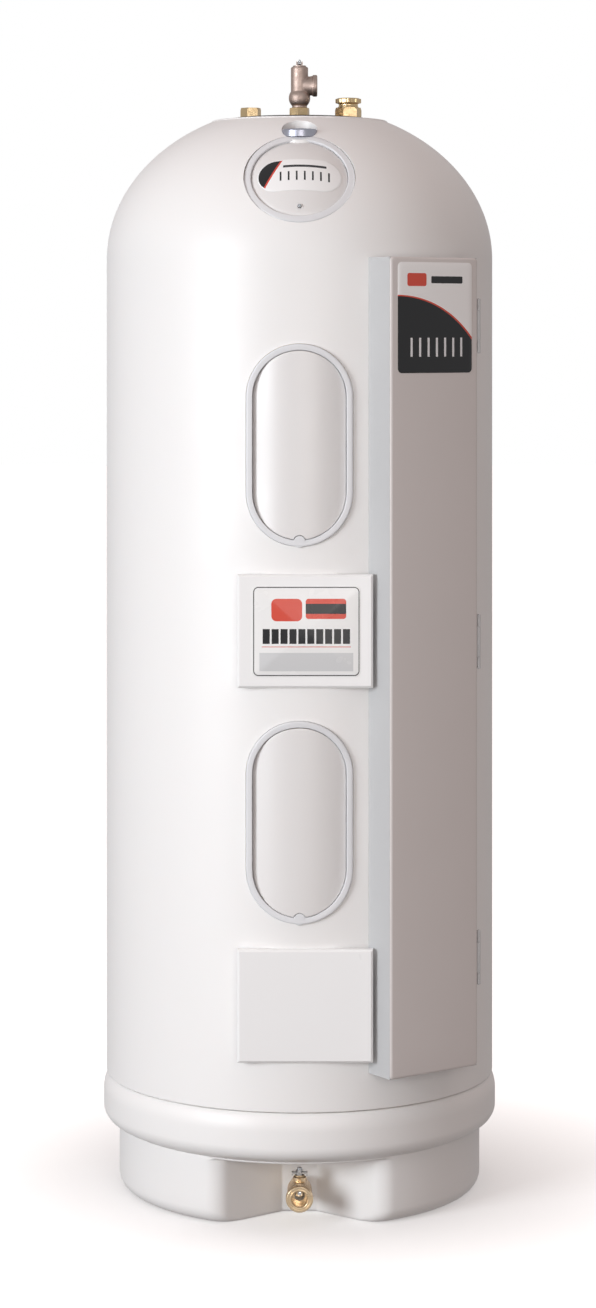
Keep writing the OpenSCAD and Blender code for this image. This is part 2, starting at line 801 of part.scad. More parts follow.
module junction_screw() {
    color("dimgrey") at_junction() translate([0, -66, 0]) {
        translate([0, 0, -16]) cylinder(r = 1.9, h = 28);
        difference() {
            translate([0, 0, 8.4]) cylinder(r1 = 3.6, r2 = 3, h = 2);
            translate([-4, -0.5, 9.6]) cube([8, 1, 2]);
        }
    }
}

module conduit_hub() {
    color("silver") translate([0, -hub_y, 0]) difference() {
        union() {
            translate([0, 0, 1815]) cylinder(r = 25, h = hub_top - 1816);
            translate([0, 0, hub_top - 14]) cylinder(r = hub_r, h = 12);
            translate([0, 0, hub_top - 2]) cylinder(r1 = hub_r, r2 = hub_r - 2, h = 2);
        }
        translate([0, 0, 1810]) cylinder(r = 21.9, h = 80);
    }
}

// Oval frame: a ring that stands proud of the jacket and a well behind it
module access_frame(z) {
    wall = 3;
    color(grey_plastic) difference() {
        union() {
            intersection() {
                along_y(-body_r - frame_proud - 5, -300, 0, z) oval(oval_w, oval_h);
                translate([0, 0, z - 200]) tube(0, 400, body_r + frame_proud, body_r - 12);
            }
            along_y(-body_r + 5, -well_back, 0, z) oval(well_w + 2 * wall, well_h + 2 * wall);
        }
        difference() {
            along_y(-body_r - 20, -well_back - wall, 0, z) oval(well_w, well_h);
            along_y(-body_r - 20, -body_r + 22, 0, z - well_h / 2 - 2.5) circle(10.5);
        }
        translate([0, 0, z]) element_axis() cylinder(r = 33, h = 60, center = true);
        translate([-35, -well_back - 10, z + thermostat_rise - 43]) cube([70, 30, 86]);
        well_cable(z, 7.4);
    }
}

module access_cover(z) {
    color(white_plastic) difference() {
        intersection() {
            along_y(-body_r - 20, -250, 0, z) oval(well_w - 1.4, well_h - 1.4);
            translate([0, cover_r - cover_front, 0]) tube(z - 200, z + 200, cover_r, cover_r - 3);
        }
        along_y(-body_r - 30, -250, 0, z - well_h / 2 - 2.5) circle(11.2);
    }
}

module foam_plug(z) {
    color("khaki") difference() {
        along_y(-328, -316, 0, z) oval(well_w - 8, well_h - 8);
        along_y(-340, -300, 0, z - well_h / 2 - 2.5) circle(14);
    }
}

module upper_frame() {
    access_frame(upper_z);
}

module upper_cover() {
    access_cover(upper_z);
}

module upper_foam_plug() {
    foam_plug(upper_z);
}

module lower_frame() {
    access_frame(lower_z);
}

module lower_cover() {
    access_cover(lower_z);
}

module lower_foam_plug() {
    foam_plug(lower_z);
}

module element_axis() {
    translate([0, -270, -element_drop]) rotate([90, 0, 0]) children();
}

// Screw-in element: hex head, thread, and a folded sheath reaching into the tank
module heating_element() {
    element_axis() {
        difference() {
            translate([0, 0, 15]) cylinder(r = 22, h = 14, $fn = 6);
            translate([0, 0, 27]) cylinder(r = 14, h = 5);
        }
        translate([0, 0, -6]) cylinder(r = 16.5, h = 21);
        translate([0, 0, 20]) cylinder(r = 11, h = 12);
        for (side = [-1, 1]) translate([side * 6, 0, 31]) cylinder(r = 2.5, h = 8);
        for (side = [-1, 1]) translate([side * 9, 0, -380]) cylinder(r = 4, h = 376);
        translate([0, 0, -380]) rotate([90, 0, 0]) rotate([0, 0, 180]) rotate_extrude(angle = 180)
            translate([9, 0]) circle(4);
    }
}

module heating_elements() {
    color("silver") for (z = [upper_z, lower_z]) translate([0, 0, z]) heating_element();
}

// Sealing ring between the tank's wall and each element's head
module element_gaskets() {
    color("black") for (z = [upper_z, lower_z]) translate([0, 0, z]) element_axis() {
        difference() {
            translate([0, 0, 6.6]) cylinder(r = 24, h = 8);
            translate([0, 0, 5]) cylinder(r = 17, h = 20);
        }
    }
}

module thermostats() {
    color("dimgrey") for (z = [upper_z, lower_z]) translate([0, 0, z + thermostat_rise]) difference() {
        union() {
            translate([-29, -297, -38]) cube([58, 19, 76]);
            for (x = [-24, 14], low = [-46, 38]) translate([x, -293, low]) cube([10, 8.9, 8]);
        }
        translate([0, -290, -12]) rotate([90, 0, 0]) cylinder(r = 3 + run_gap, h = 20);
        translate([0, -291, 20]) rotate([90, 0, 0]) cylinder(r = 4.2, h = 20);
    }
}

module thermostat_dial(z) {
    color("white") translate([0, 0, z + thermostat_rise - 12]) {
        translate([0, -291, 0]) rotate([90, 0, 0]) cylinder(r = 3, h = 8);
        difference() {
            translate([0, -297.4, 0]) rotate([90, 0, 0]) cylinder(r = 11, h = 4);
            translate([-7, -303, -0.8]) cube([14, 3, 1.6]);
        }
    }
}

module upper_dial() {
    thermostat_dial(upper_z);
}

module lower_dial() {
    thermostat_dial(lower_z);
}

module reset_button() {
    color("red") translate([0, -294, upper_z + thermostat_rise + 20]) rotate([90, 0, 0])
        cylinder(r = 4.1, h = 6.5);
}

// Section across a plate, from the jacket side to a bevelled front
function bevelled(w, bevel = 4) = [[-w / 2, -plate_back], [-w / 2, -plate_front + bevel],
    [-w / 2 + bevel, -plate_front], [w / 2 - bevel, -plate_front], [w / 2, -plate_front + bevel],
    [w / 2, -plate_back]];

// Flat plate with a bevelled edge, bearing on the jacket along its middle
module front_plate(z) {
    color("white") difference() {
        intersection() {
            translate([plate_x, 0, z - plate_h / 2]) linear_extrude(height = plate_h)
                polygon(bevelled(plate_w));
            translate([plate_x - plate_w / 2, 0, z]) rotate([90, 0, 90]) linear_extrude(height = plate_w)
                polygon([for (p = bevelled(plate_h)) [p[1], p[0]]]);
        }
        cylinder(r = body_r + gap, h = 1500, $fn = fine);
    }
}

module rating_plate() {
    front_plate(rating_z);
}

module rating_label() {
    color("gainsboro") along_y(-plate_front - 0.6, -plate_front - 0.05, plate_x + 2, rating_z)
        round_rect(183, 154, 9);
}

module blank_plate() {
    front_plate(blank_z);
}

base_bowl();
jacket_shell();
top_rim();
top_gasket();
foam_insulation();
tank_overwrap();
tank_liner();
cold_inlet();
dip_tube();
hot_outlet();
outlet_union();
relief_spud();
relief_body();
relief_bonnet();
relief_probe();
relief_spring();
relief_stem();
relief_lever();
relief_lever_pin();
drain_tube();
drain_valve_body();
drain_valve_end();
drain_seats();
drain_ball();
drain_stem();
drain_handle();
drain_gland_nut();
control_box();
box_door();
door_gasket();
door_hinges();
door_label();
component_panel();
contactors();
terminal_block();
fuse_block();
ground_lug();
box_wiring();
supply_conduit();
junction_cup();
junction_frame();
junction_cover();
junction_badge();
junction_screw();
conduit_hub();
upper_frame();
upper_cover();
upper_foam_plug();
lower_frame();
lower_cover();
lower_foam_plug();
heating_elements();
element_gaskets();
thermostats();
upper_dial();
lower_dial();
reset_button();
rating_plate();
rating_label();
blank_plate();
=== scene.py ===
"""Tank water heater: finished surfaces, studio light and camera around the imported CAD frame.

The file is written for a designer who wants to restyle the heater. Each sub-assembly is one class whose sizes,
in millimetres, are dataclass fields. Each finish is a small frozen dataclass. `main` builds them in order.
"""

import json
import logging
import math
from dataclasses import dataclass, field
from enum import Enum
from typing import Callable, Optional, Sequence, Union

import bmesh
import bpy
from mathutils import Matrix, Vector

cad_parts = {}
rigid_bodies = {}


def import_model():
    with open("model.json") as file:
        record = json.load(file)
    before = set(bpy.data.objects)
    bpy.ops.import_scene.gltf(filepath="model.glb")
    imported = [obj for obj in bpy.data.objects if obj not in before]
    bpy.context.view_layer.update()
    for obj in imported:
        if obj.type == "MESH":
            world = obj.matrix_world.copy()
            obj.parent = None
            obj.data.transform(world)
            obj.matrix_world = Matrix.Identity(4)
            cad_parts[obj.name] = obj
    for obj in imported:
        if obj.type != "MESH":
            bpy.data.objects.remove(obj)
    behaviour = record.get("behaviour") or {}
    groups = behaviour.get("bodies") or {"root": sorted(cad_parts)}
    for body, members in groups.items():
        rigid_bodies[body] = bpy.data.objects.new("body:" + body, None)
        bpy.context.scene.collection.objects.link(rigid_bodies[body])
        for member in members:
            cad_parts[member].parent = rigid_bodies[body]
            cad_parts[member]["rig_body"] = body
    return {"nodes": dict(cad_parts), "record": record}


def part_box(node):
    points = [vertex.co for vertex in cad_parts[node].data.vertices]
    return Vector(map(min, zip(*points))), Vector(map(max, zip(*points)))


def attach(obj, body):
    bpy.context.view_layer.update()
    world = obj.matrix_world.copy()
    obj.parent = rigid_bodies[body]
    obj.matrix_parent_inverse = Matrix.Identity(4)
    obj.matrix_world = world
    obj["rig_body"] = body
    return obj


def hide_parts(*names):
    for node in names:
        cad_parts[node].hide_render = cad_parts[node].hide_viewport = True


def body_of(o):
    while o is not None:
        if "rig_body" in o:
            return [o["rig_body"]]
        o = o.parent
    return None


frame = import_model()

MM = 0.001
LOG = logging.getLogger("water_heater")
Point = tuple[float, float]


class Body(str, Enum):
    """Rigid bodies that a piece can move with."""

    HEATER = "heater"
    DOOR = "door"
    JUNCTION_LID = "junction_lid"
    UPPER_LID = "upper_lid"
    LOWER_LID = "lower_lid"


class Axis(Enum):
    """Direction in which a turned piece's axis points."""

    UP = "up"
    FRONT = "front"
    RIGHT = "right"


# --------------------------------------------------------------------------------------------- colour and nodes


def srgb(code: str) -> tuple[float, float, float, float]:
    """Turns an sRGB hex code into linear colour.

    Args:
        code: Six hexadecimal digits, such as "e6e4e2".

    Returns:
        Red, green, blue and alpha for a shader socket.
    """
    channels = [int(code[i : i + 2], 16) / 255 for i in (0, 2, 4)]
    linear = [c / 12.92 if c <= 0.04045 else ((c + 0.055) / 1.055) ** 2.4 for c in channels]
    return (linear[0], linear[1], linear[2], 1.0)


def add_node(tree: bpy.types.NodeTree, kind: str, inputs: Optional[dict] = None, **settings) -> bpy.types.Node:
    """Adds one node.

    Args:
        tree: Tree that gets the node.
        kind: Blender's class name of the node.
        inputs: Values or sockets for its inputs, by name or index. A socket is linked, a value is set.
        **settings: Attributes of the node itself.

    Returns:
        The new node.
    """
    node = tree.nodes.new(kind)
    for key, value in settings.items():
        setattr(node, key, value)
    for key, value in (inputs or {}).items():
        if isinstance(value, bpy.types.NodeSocket):
            tree.links.new(value, node.inputs[key])
        else:
            node.inputs[key].default_value = value
    return node


@dataclass(frozen=True)
class Finish:
    """A painted, moulded or cast surface with mottled colour, uneven sheen and a fine relief."""

    name: str
    shade: str
    shade_alt: str
    roughness: float
    rough_spread: float = 0.06
    metallic: float = 0.0
    ior: float = 1.5
    mottle_mm: float = 60.0
    grain_mm: float = 1.6
    relief_mm: float = 0.03
    coat: float = 0.0
    subsurface: float = 0.0

    def build(self) -> bpy.types.Material:
        """Makes the material, or returns it if it exists.

        Returns:
            The Blender material.
        """
        found = bpy.data.materials.get(self.name)
        if found:
            return found
        material = bpy.data.materials.new(self.name)
        material.use_nodes = True
        tree = material.node_tree
        tree.nodes.clear()
        place = add_node(tree, "ShaderNodeTexCoord").outputs["Object"]
        colour, rough, height = self.patterns(tree, place)
        bump = add_node(
            tree, "ShaderNodeBump", {"Height": height, "Distance": self.relief_mm * MM, "Strength": 1.0}
        )
        values = {
            "Base Color": colour,
            "Roughness": rough,
            "Normal": bump.outputs["Normal"],
            "Metallic": self.metallic,
        }
        if not self.metallic:
            values["IOR"] = self.ior
            values["Coat Weight"] = self.coat
            values["Subsurface Weight"] = self.subsurface
        surface = add_node(tree, "ShaderNodeBsdfPrincipled", values)
        if self.subsurface:
            surface.inputs["Subsurface Radius"].default_value = (0.012, 0.010, 0.009)
        add_node(tree, "ShaderNodeOutputMaterial", {"Surface": surface.outputs["BSDF"]})
        return material

    def noise(
        self, tree: bpy.types.NodeTree, place: bpy.types.NodeSocket, size_mm: float, detail: float = 3.0
    ) -> bpy.types.NodeSocket:
        """Adds a noise pattern.

        Args:
            tree: Material's tree.
            place: Coordinates in metres.
            size_mm: Size of one blob.
            detail: Octaves of finer detail.

        Returns:
            The noise value's socket.
        """
        values = {"Vector": place, "Scale": 1.0 / (size_mm * MM), "Detail": detail, "Roughness": 0.55}
        return add_node(tree, "ShaderNodeTexNoise", values).outputs[0]

    def patterns(self, tree: bpy.types.NodeTree, place: bpy.types.NodeSocket) -> tuple:
        """Builds what varies over the surface.

        Args:
            tree: Material's tree.
            place: Coordinates in metres.

        Returns:
            Sockets for colour, roughness and height.
        """
        mottle = self.noise(tree, place, self.mottle_mm)
        colour = add_node(
            tree, "ShaderNodeMix", {0: mottle, 6: srgb(self.shade), 7: srgb(self.shade_alt)}, data_type="RGBA"
        ).outputs[2]
        rough = self.spread(tree, mottle)
        return colour, rough, self.noise(tree, place, self.grain_mm, 2.0)

    def spread(self, tree: bpy.types.NodeTree, pattern: bpy.types.NodeSocket) -> bpy.types.NodeSocket:
        """Maps a pattern to the range of roughness.

        Args:
            tree: Material's tree.
            pattern: Value from 0 to 1.

        Returns:
            The roughness socket.
        """
        values = {
            "Value": pattern,
            "From Min": 0.3,
            "From Max": 0.7,
            "To Min": self.roughness - self.rough_spread,
            "To Max": self.roughness + self.rough_spread,
        }
        return add_node(tree, "ShaderNodeMapRange", values).outputs[0]


@dataclass(frozen=True)
class TurnedMetal(Finish):
    """Machined metal: fine tool lines along one axis under the mottle."""

    line_mm: float = 0.5
    axis: str = "Z"

    def patterns(self, tree: bpy.types.NodeTree, place: bpy.types.NodeSocket) -> tuple:
        """Adds tool lines to the plain pattern.

        Args:
            tree: Material's tree.
            place: Coordinates in metres.

        Returns:
            Sockets for colour, roughness and height.
        """
        colour, rough, _ = super().patterns(tree, place)
        values = {"Vector": place, "Scale": 0.3 / (self.line_mm * MM), "Distortion": 0.6, "Detail": 2.0}
        lines = add_node(
            tree, "ShaderNodeTexWave", values, wave_type="BANDS", bands_direction=self.axis
        ).outputs["Fac"]
        return colour, rough, lines


@dataclass(frozen=True)
class WoundFibre(Finish):
    """Glass filament wound in crossing bands under amber resin."""

    band_mm: float = 9.0

    def patterns(self, tree: bpy.types.NodeTree, place: bpy.types.NodeSocket) -> tuple:
        """Crosses two sets of bands.

        Args:
            tree: Material's tree.
            place: Coordinates in metres.

        Returns:
            Sockets for colour, roughness and height.
        """
        sets = []
        for tilt in (0.6, -0.6):
            turned = add_node(tree, "ShaderNodeMapping", {"Vector": place, "Rotation": (tilt, tilt, 0.0)})
            values = {"Vector": turned.outputs[0], "Scale": 0.3 / (self.band_mm * MM), "Distortion": 1.2}
            wave = add_node(tree, "ShaderNodeTexWave", values, bands_direction="Z")
            sets.append(wave.outputs["Fac"])
        weave = add_node(tree, "ShaderNodeMath", {0: sets[0], 1: sets[1]}, operation="MAXIMUM").outputs[0]
        colour = add_node(
            tree, "ShaderNodeMix", {0: weave, 6: srgb(self.shade), 7: srgb(self.shade_alt)}, data_type="RGBA"
        ).outputs[2]
        return colour, self.spread(tree, weave), weave


@dataclass(frozen=True)
class Mark:
    """One flat shape of a printed label, in the label's own millimetres."""

    colour: str
    centre: Point = (0.0, 0.0)
    half: Point = (10.0, 10.0)
    radius: float = 0.0
    line: float = 0.0
    slope: Optional[tuple[float, float, float]] = None


def strokes(colour: str, centre: Point, half: Point, count: int, share: float) -> tuple[Mark, ...]:
    """A row of plain upright blocks that stands for a line of print.

    Args:
        colour: sRGB hex code.
        centre: Middle of the row.
        half: Half width and half height of the row.
        count: Number of blocks.
        share: Width of a block as a share of the pitch.

    Returns:
        One mark per block.
    """
    pitch = 2 * half[0] / count
    starts = [centre[0] - half[0] + pitch * (i + 0.5) for i in range(count)]
    return tuple(Mark(colour, (x, centre[1]), (pitch * share / 2, half[1])) for x in starts)


@dataclass(frozen=True)
class PrintedFilm(Finish):
    """Glossy label film with flat printed shapes, laid out in the label's UV map."""

    marks: tuple[Mark, ...] = ()

    def patterns(self, tree: bpy.types.NodeTree, place: bpy.types.NodeSocket) -> tuple:
        """Prints the marks over the film's colour.

        Args:
            tree: Material's tree.
            place: Coordinates in metres.

        Returns:
            Sockets for colour, roughness and height.
        """
        colour, rough, height = super().patterns(tree, place)
        uv = add_node(tree, "ShaderNodeUVMap", uv_map="label").outputs[0]
        split = add_node(tree, "ShaderNodeSeparateXYZ", {0: uv})
        for mark in self.marks:
            mask = self.mask(tree, split.outputs[0], split.outputs[1], mark)
            mixed = add_node(
                tree, "ShaderNodeMix", {0: mask, 6: colour, 7: srgb(mark.colour)}, data_type="RGBA"
            )
            colour = mixed.outputs[2]
        return colour, rough, height

    def mask(
        self, tree: bpy.types.NodeTree, u: bpy.types.NodeSocket, v: bpy.types.NodeSocket, mark: Mark
    ) -> bpy.types.NodeSocket:
        """Builds a mark's mask from its distance field.

        Args:
            tree: Material's tree.
            u: Label's width coordinate.
            v: Label's height coordinate.
            mark: The shape.

        Returns:
            Socket that is 1 inside the shape and 0 outside it.
        """

        def calc(operation: str, first, second=0.0) -> bpy.types.NodeSocket:
            return add_node(tree, "ShaderNodeMath", {0: first, 1: second}, operation=operation).outputs[0]

        over = []
        for socket, centre, half in ((u, mark.centre[0], mark.half[0]), (v, mark.centre[1], mark.half[1])):
            over.append(calc("SUBTRACT", calc("ABSOLUTE", calc("SUBTRACT", socket, centre)), half - mark.radius))
        corner = [calc("MAXIMUM", value, 0.0) for value in over]
        reach = calc("SQRT", calc("ADD", calc("POWER", corner[0], 2.0), calc("POWER", corner[1], 2.0)))
        inner = calc("MINIMUM", calc("MAXIMUM", over[0], over[1]), 0.0)
        distance = calc("SUBTRACT", calc("ADD", reach, inner), mark.radius)
        if mark.line:
            distance = calc("SUBTRACT", calc("ABSOLUTE", distance), mark.line / 2)
        mask = calc("LESS_THAN", distance, 0.0)
        if mark.slope:
            a, b, c = mark.slope
            side = calc("ADD", calc("ADD", calc("MULTIPLY", u, a), calc("MULTIPLY", v, b)), c)
            mask = calc("MULTIPLY", mask, calc("GREATER_THAN", side, 0.0))
        return mask


# Rotationally moulded polyethylene: warm white, satin, with a very fine orange peel that softens the highlights
JACKET = Finish(
    "Polyethylene_White", "f4f3f2", "f1f0ef", 0.42, 0.04,
    mottle_mm=180, grain_mm=2.2, relief_mm=0.035, subsurface=0.04,
)
# The same plastic moulded smoother for the snap-in covers, its colour set darker than the jacket's as painted shade
COVER_PAINTED_SHADE = Finish(
    "Polyethylene_Cover_Painted_Shade", "e7e5e4", "e4e2e1", 0.34, 0.03,
    mottle_mm=120, grain_mm=2.0, relief_mm=0.02, subsurface=0.04,
)
# Grey ABS trim: cooler than the jacket, so that the frames read as separate mouldings
TRIM = Finish("ABS_Trim_Grey", "e3e4e6", "dfe0e3", 0.36, 0.04, mottle_mm=90, grain_mm=1.4, relief_mm=0.02)
# Powder-coated steel: neutral grey with a slightly pebbled satin skin
BOX_GREY = Finish("Powder_Coat_Grey", "c3c4c5", "c0c1c2", 0.45, 0.04, mottle_mm=140, grain_mm=1.1, relief_mm=0.03)
# Baked white enamel on the sheet-steel door
DOOR_WHITE = Finish("Enamel_Door_White", "dcd6d4", "d8d2d0", 0.4, 0.03, mottle_mm=160, grain_mm=1.3, relief_mm=0.02)
# Gloss white enamel of the flat front plates
PLATE = Finish("Enamel_Plate_White", "f7f7f7", "f5f5f5", 0.3, 0.03, mottle_mm=110, grain_mm=1.3, relief_mm=0.01)
# EPDM rubber: near black, dull
RUBBER = Finish("EPDM_Black", "111112", "1a1a1b", 0.7, 0.06, mottle_mm=14, grain_mm=0.8, relief_mm=0.05)
# Machined yellow brass with tool lines; a little tarnish varies the sheen
BRASS = TurnedMetal("Brass_Machined", "ddc7a2", "c9aa7c", 0.32, 0.07, 1.0, mottle_mm=9, relief_mm=0.01)
# The same brass for parts turned about the Y axis, painted paler than the top brass: painted light against the shade of
# the base's recess
BRASS_FRONT_PAINTED_LIGHT = TurnedMetal(
    "Brass_Machined_Front_Painted_Light", "ecd6b8", "dbbd94", 0.3, 0.07, 1.0,
    mottle_mm=9, relief_mm=0.01, axis="Y",
)
# Sand-cast bronze: brownish pink, grainy, with a dull bloom
BRONZE = Finish("Bronze_Cast", "c4b0a7", "a38f85", 0.5, 0.08, 1.0, mottle_mm=6, grain_mm=1.3, relief_mm=0.28)
# Zinc-plated steel: brushed, cool grey
STEEL = TurnedMetal("Steel_Zinc_Plated", "c9cbce", "b4b6ba", 0.3, 0.07, 1.0, mottle_mm=12, relief_mm=0.008)
# Zinc die-cast hub: lavender grey, duller than the steel
DIE_CAST = Finish("Zinc_Die_Cast", "b9bac6", "a5a6b3", 0.36, 0.06, 1.0, mottle_mm=14, grain_mm=1.0, relief_mm=0.05)
# Hard chrome on the valve's ball
CHROME = Finish("Chrome_Ball", "dcdde0", "cfd0d4", 0.08, 0.03, 1.0, mottle_mm=10, relief_mm=0.003)
# Stainless sheath of the heating elements
SHEATH = TurnedMetal("Stainless_Sheath", "b7b1a8", "a59d92", 0.34, 0.08, 1.0, mottle_mm=20, relief_mm=0.01)
# PTFE seats: waxy white
PTFE = Finish("PTFE_Seat", "f2f2ef", "ecece8", 0.32, 0.04, mottle_mm=12, relief_mm=0.01, subsurface=0.1)
# Closed-cell urethane foam: straw coloured, open cut cells
FOAM = Finish(
    "Urethane_Foam", "e6d7a2", "d3c085", 0.85, 0.05,
    mottle_mm=22, grain_mm=1.6, relief_mm=0.4, subsurface=0.05,
)
# Wound glass fibre in resin around the tank
WOUND = WoundFibre("Glass_Fibre_Wound", "b79a63", "d9c391", 0.4, 0.08, relief_mm=0.3)
# Natural polybutene liner and dip tube
LINER = Finish("Liner_Natural", "e6e1cf", "dcd6c0", 0.4, 0.05, mottle_mm=50, relief_mm=0.02, subsurface=0.1)
# Phenolic housings of contactors, terminal block and thermostats
PHENOLIC = Finish("Phenolic_Black", "1d1d1f", "262628", 0.45, 0.07, mottle_mm=16, grain_mm=0.9, relief_mm=0.03)
# Moulded dial
DIAL = Finish("Nylon_Dial", "eceae4", "e4e1da", 0.35, 0.04, mottle_mm=10, relief_mm=0.015)
# Red high-limit reset button
RED = Finish("Nylon_Red", "c21f1a", "ad1813", 0.3, 0.05, mottle_mm=6, relief_mm=0.01)
# PVC insulation of the loom
WIRE = Finish("PVC_Wire_Red", "8e1f1c", "7b1815", 0.38, 0.05, mottle_mm=18, relief_mm=0.01)
# Black and red print over white film on the door
DOOR_LABEL = PrintedFilm(
    "Label_Door",
    "fbfbfb",
    "f9f9f9",
    0.24,
    0.03,
    mottle_mm=70,
    relief_mm=0.006,
    marks=(
        Mark("d8503f", (-79.0, -172.7), (210.8, 210.8), 210.8),
        Mark("17171a", (-81.0, -174.0), (210.0, 210.0), 210.0),
        *strokes("ececee", (2.0, -50.0), (62.0, 16.0), 7, 0.24),
        Mark("d8503f", (-40.0, 64.0), (20.0, 11.0), 4.0),
        Mark("1c1c1f", (24.0, 64.0), (34.0, 6.0), 2.0),
    ),
)
# Thin outline, plain bars and a grey field on the rating label
RATING_LABEL = PrintedFilm(
    "Label_Rating",
    "f4f4f3",
    "f1f1f0",
    0.26,
    0.03,
    mottle_mm=70,
    relief_mm=0.006,
    marks=(
        Mark("26262a", half=(88.6, 74.1), radius=8.0, line=1.6),
        Mark("d5d6d7", (0.0, -51.5), (79.0, 15.5)),
        *strokes("1c1c1f", (0.0, -8.5), (75.0, 12.5), 10, 0.8),
        Mark("d8503f", (0.0, -26.0), (75.0, 0.6)),
        Mark("d8503f", (-33.0, 36.0), (26.0, 19.0), 9.0),
        Mark("d8503f", (33.0, 38.0), (34.0, 17.0), 5.0),
        Mark("1c1c1f", (33.0, 38.0), (34.0, 8.5), 1.5),
    ),
)
# White badge with a slanted black end and a red hairline
BADGE_LABEL = PrintedFilm(
    "Label_Badge",
    "f6f6f6",
    "f3f3f3",
    0.22,
    0.03,
    mottle_mm=50,
    relief_mm=0.005,
    marks=(
        Mark("d24a3c", half=(70.0, 31.0), radius=31.0, slope=(-1.0, 0.54, -45.5)),
        Mark("1a1a1c", half=(70.0, 31.0), radius=31.0, slope=(-1.0, 0.54, -49.0)),
        Mark("3a3a3d", (9.0, 17.0), (37.0, 2.6), 1.0),
        *strokes("26262a", (9.0, -4.0), (48.0, 9.5), 7, 0.22),
    ),
)

CAD_FINISHES: dict[str, Finish] = {
    "jacket_white": JACKET,
    "trim_grey": TRIM,
    "box_enamel": BOX_GREY,
    "gasket_black": RUBBER,
    "foam": FOAM,
    "wound_glass": WOUND,
    "liner": LINER,
    "brass": BRASS,
    "bronze": BRONZE,
    "steel": STEEL,
    "chrome_ball": CHROME,
    "seat_white": PTFE,
    "device_black": PHENOLIC,
    "dial_white": DIAL,
    "reset_red": RED,
    "wire_insulation": WIRE,
    "plate_white": PLATE,
    "label_print": PLATE,
}


# --------------------------------------------------------------------------------------------------- mesh tools


def to_object(name: str, mesh_data: bmesh.types.BMesh) -> bpy.types.Object:
    """Makes an object in the scene from mesh data.

    Args:
        name: Name of the piece.
        mesh_data: Geometry in metres, which is freed.

    Returns:
        The object, at the origin.
    """
    mesh = bpy.data.meshes.new(name)
    mesh_data.to_mesh(mesh)
    mesh_data.free()
    made = bpy.data.objects.new(name, mesh)
    bpy.context.scene.collection.objects.link(made)
    return made


def skin(name: str, rings: Sequence[Sequence[Vector]], closed: bool = False) -> bpy.types.Object:
    """Joins a stack of rings with faces.

    Args:
        name: Name of the piece.
        rings: Rings of equal length, in millimetres. A ring may shrink to a point or a line.
        closed: Whether the last ring also joins the first.

    Returns:
        The object.
    """
    shape = bmesh.new()
    rows = [[shape.verts.new(point * MM) for point in ring] for ring in rings]
    pairs = list(zip(rows, rows[1:])) + ([(rows[-1], rows[0])] if closed else [])
    for low, high in pairs:
        for i in range(len(low)):
            j = (i + 1) % len(low)
            shape.faces.new((low[i], low[j], high[j], high[i]))
    bmesh.ops.remove_doubles(shape, verts=shape.verts, dist=2e-6)
    bmesh.ops.recalc_face_normals(shape, faces=shape.faces)
    return to_object(name, shape)


def placed(axis: Axis, centre: Vector) -> Matrix:
    """Placement of a shape drawn about +Z.

    Args:
        axis: Where the shape's axis points.
        centre: Where its origin goes, in millimetres.

    Returns:
        Matrix in millimetres.
    """
    turns = {
        Axis.UP: Matrix.Identity(4),
        Axis.FRONT: Matrix.Rotation(math.radians(90), 4, "X"),
        Axis.RIGHT: Matrix.Rotation(math.radians(90), 4, "Y"),
    }
    return Matrix.Translation(centre) @ turns[axis]


def revolve(
    name: str, profile: Sequence[Point], segments: int = 96, place: Matrix = Matrix.Identity(4)
) -> bpy.types.Object:
    """Turns a closed section about an axis.

    Args:
        name: Name of the piece.
        profile: Radius and height of each point, in millimetres.
        segments: Steps round the axis.
        place: Placement, in millimetres.

    Returns:
        The object.
    """
    turns = [2 * math.pi * i / segments for i in range(segments)]
    rings = [[place @ Vector((r * math.cos(t), r * math.sin(t), z)) for t in turns] for r, z in profile]
    return skin(name, rings, closed=True)


def fillet(points: Sequence[Point], radii: Sequence[float], steps: int = 4) -> list[Point]:
    """Rounds the corners of a closed outline.

    Args:
        points: Corners.
        radii: Radius at each corner, 0 for a sharp one.
        steps: Segments in each arc.

    Returns:
        The rounded outline.
    """
    out: list[Point] = []
    for i, (corner, radius) in enumerate(zip(points, radii)):
        if radius <= 0:
            out.append(tuple(corner))
            continue
        here = Vector(corner)
        back, ahead = Vector(points[i - 1]) - here, Vector(points[(i + 1) % len(points)]) - here
        half = back.angle(ahead) / 2
        cut = min(radius / math.tan(half), 0.49 * back.length, 0.49 * ahead.length)
        start, end = here + back.normalized() * cut, here + ahead.normalized() * cut
        centre = here + (back.normalized() + ahead.normalized()).normalized() * cut / math.cos(half)
        first = math.atan2(*reversed(start - centre))
        turn = math.atan2(*reversed(end - centre)) - first
        turn = (turn + math.pi) % (2 * math.pi) - math.pi
        length = (start - centre).length
        out += [
            (centre.x + length * math.cos(first + turn * k / steps), centre.y + length * math.sin(first + turn * k / steps))
            for k in range(steps + 1)
        ]
    return out


def arc(centre: Point, radius: float, start: float, end: float, steps: int = 8) -> list[Point]:
    """Points of a circular arc.

    Args:
        centre: Its centre.
        radius: Its radius.
        start: First angle in degrees.
        end: Last angle in degrees.
        steps: Number of segments.

    Returns:
        The points, both ends included.
    """
    angles = [math.radians(start + (end - start) * k / steps) for k in range(steps + 1)]
    return [(centre[0] + radius * math.cos(a), centre[1] + radius * math.sin(a)) for a in angles]


def stadium(width: float, height: float, arc_steps: int = 24, side_steps: int = 8) -> list[tuple[Point, Point]]:
    """Outline of an upright oval with straight sides.

    Args:
        width: Full width.
        height: Full height.
        arc_steps: Segments in each half circle.
        side_steps: Segments along each side.

    Returns:
        Points with their outward normals.
    """
    r, straight = width / 2, (height - width) / 2
    points = [((r, -straight + 2 * straight * k / side_steps), (1.0, 0.0)) for k in range(side_steps)]
    for k in range(arc_steps):
        a = math.pi * k / arc_steps
        points.append(((r * math.cos(a), straight + r * math.sin(a)), (math.cos(a), math.sin(a))))
    return points + [((-x, -z), (-nx, -nz)) for (x, z), (nx, nz) in points]


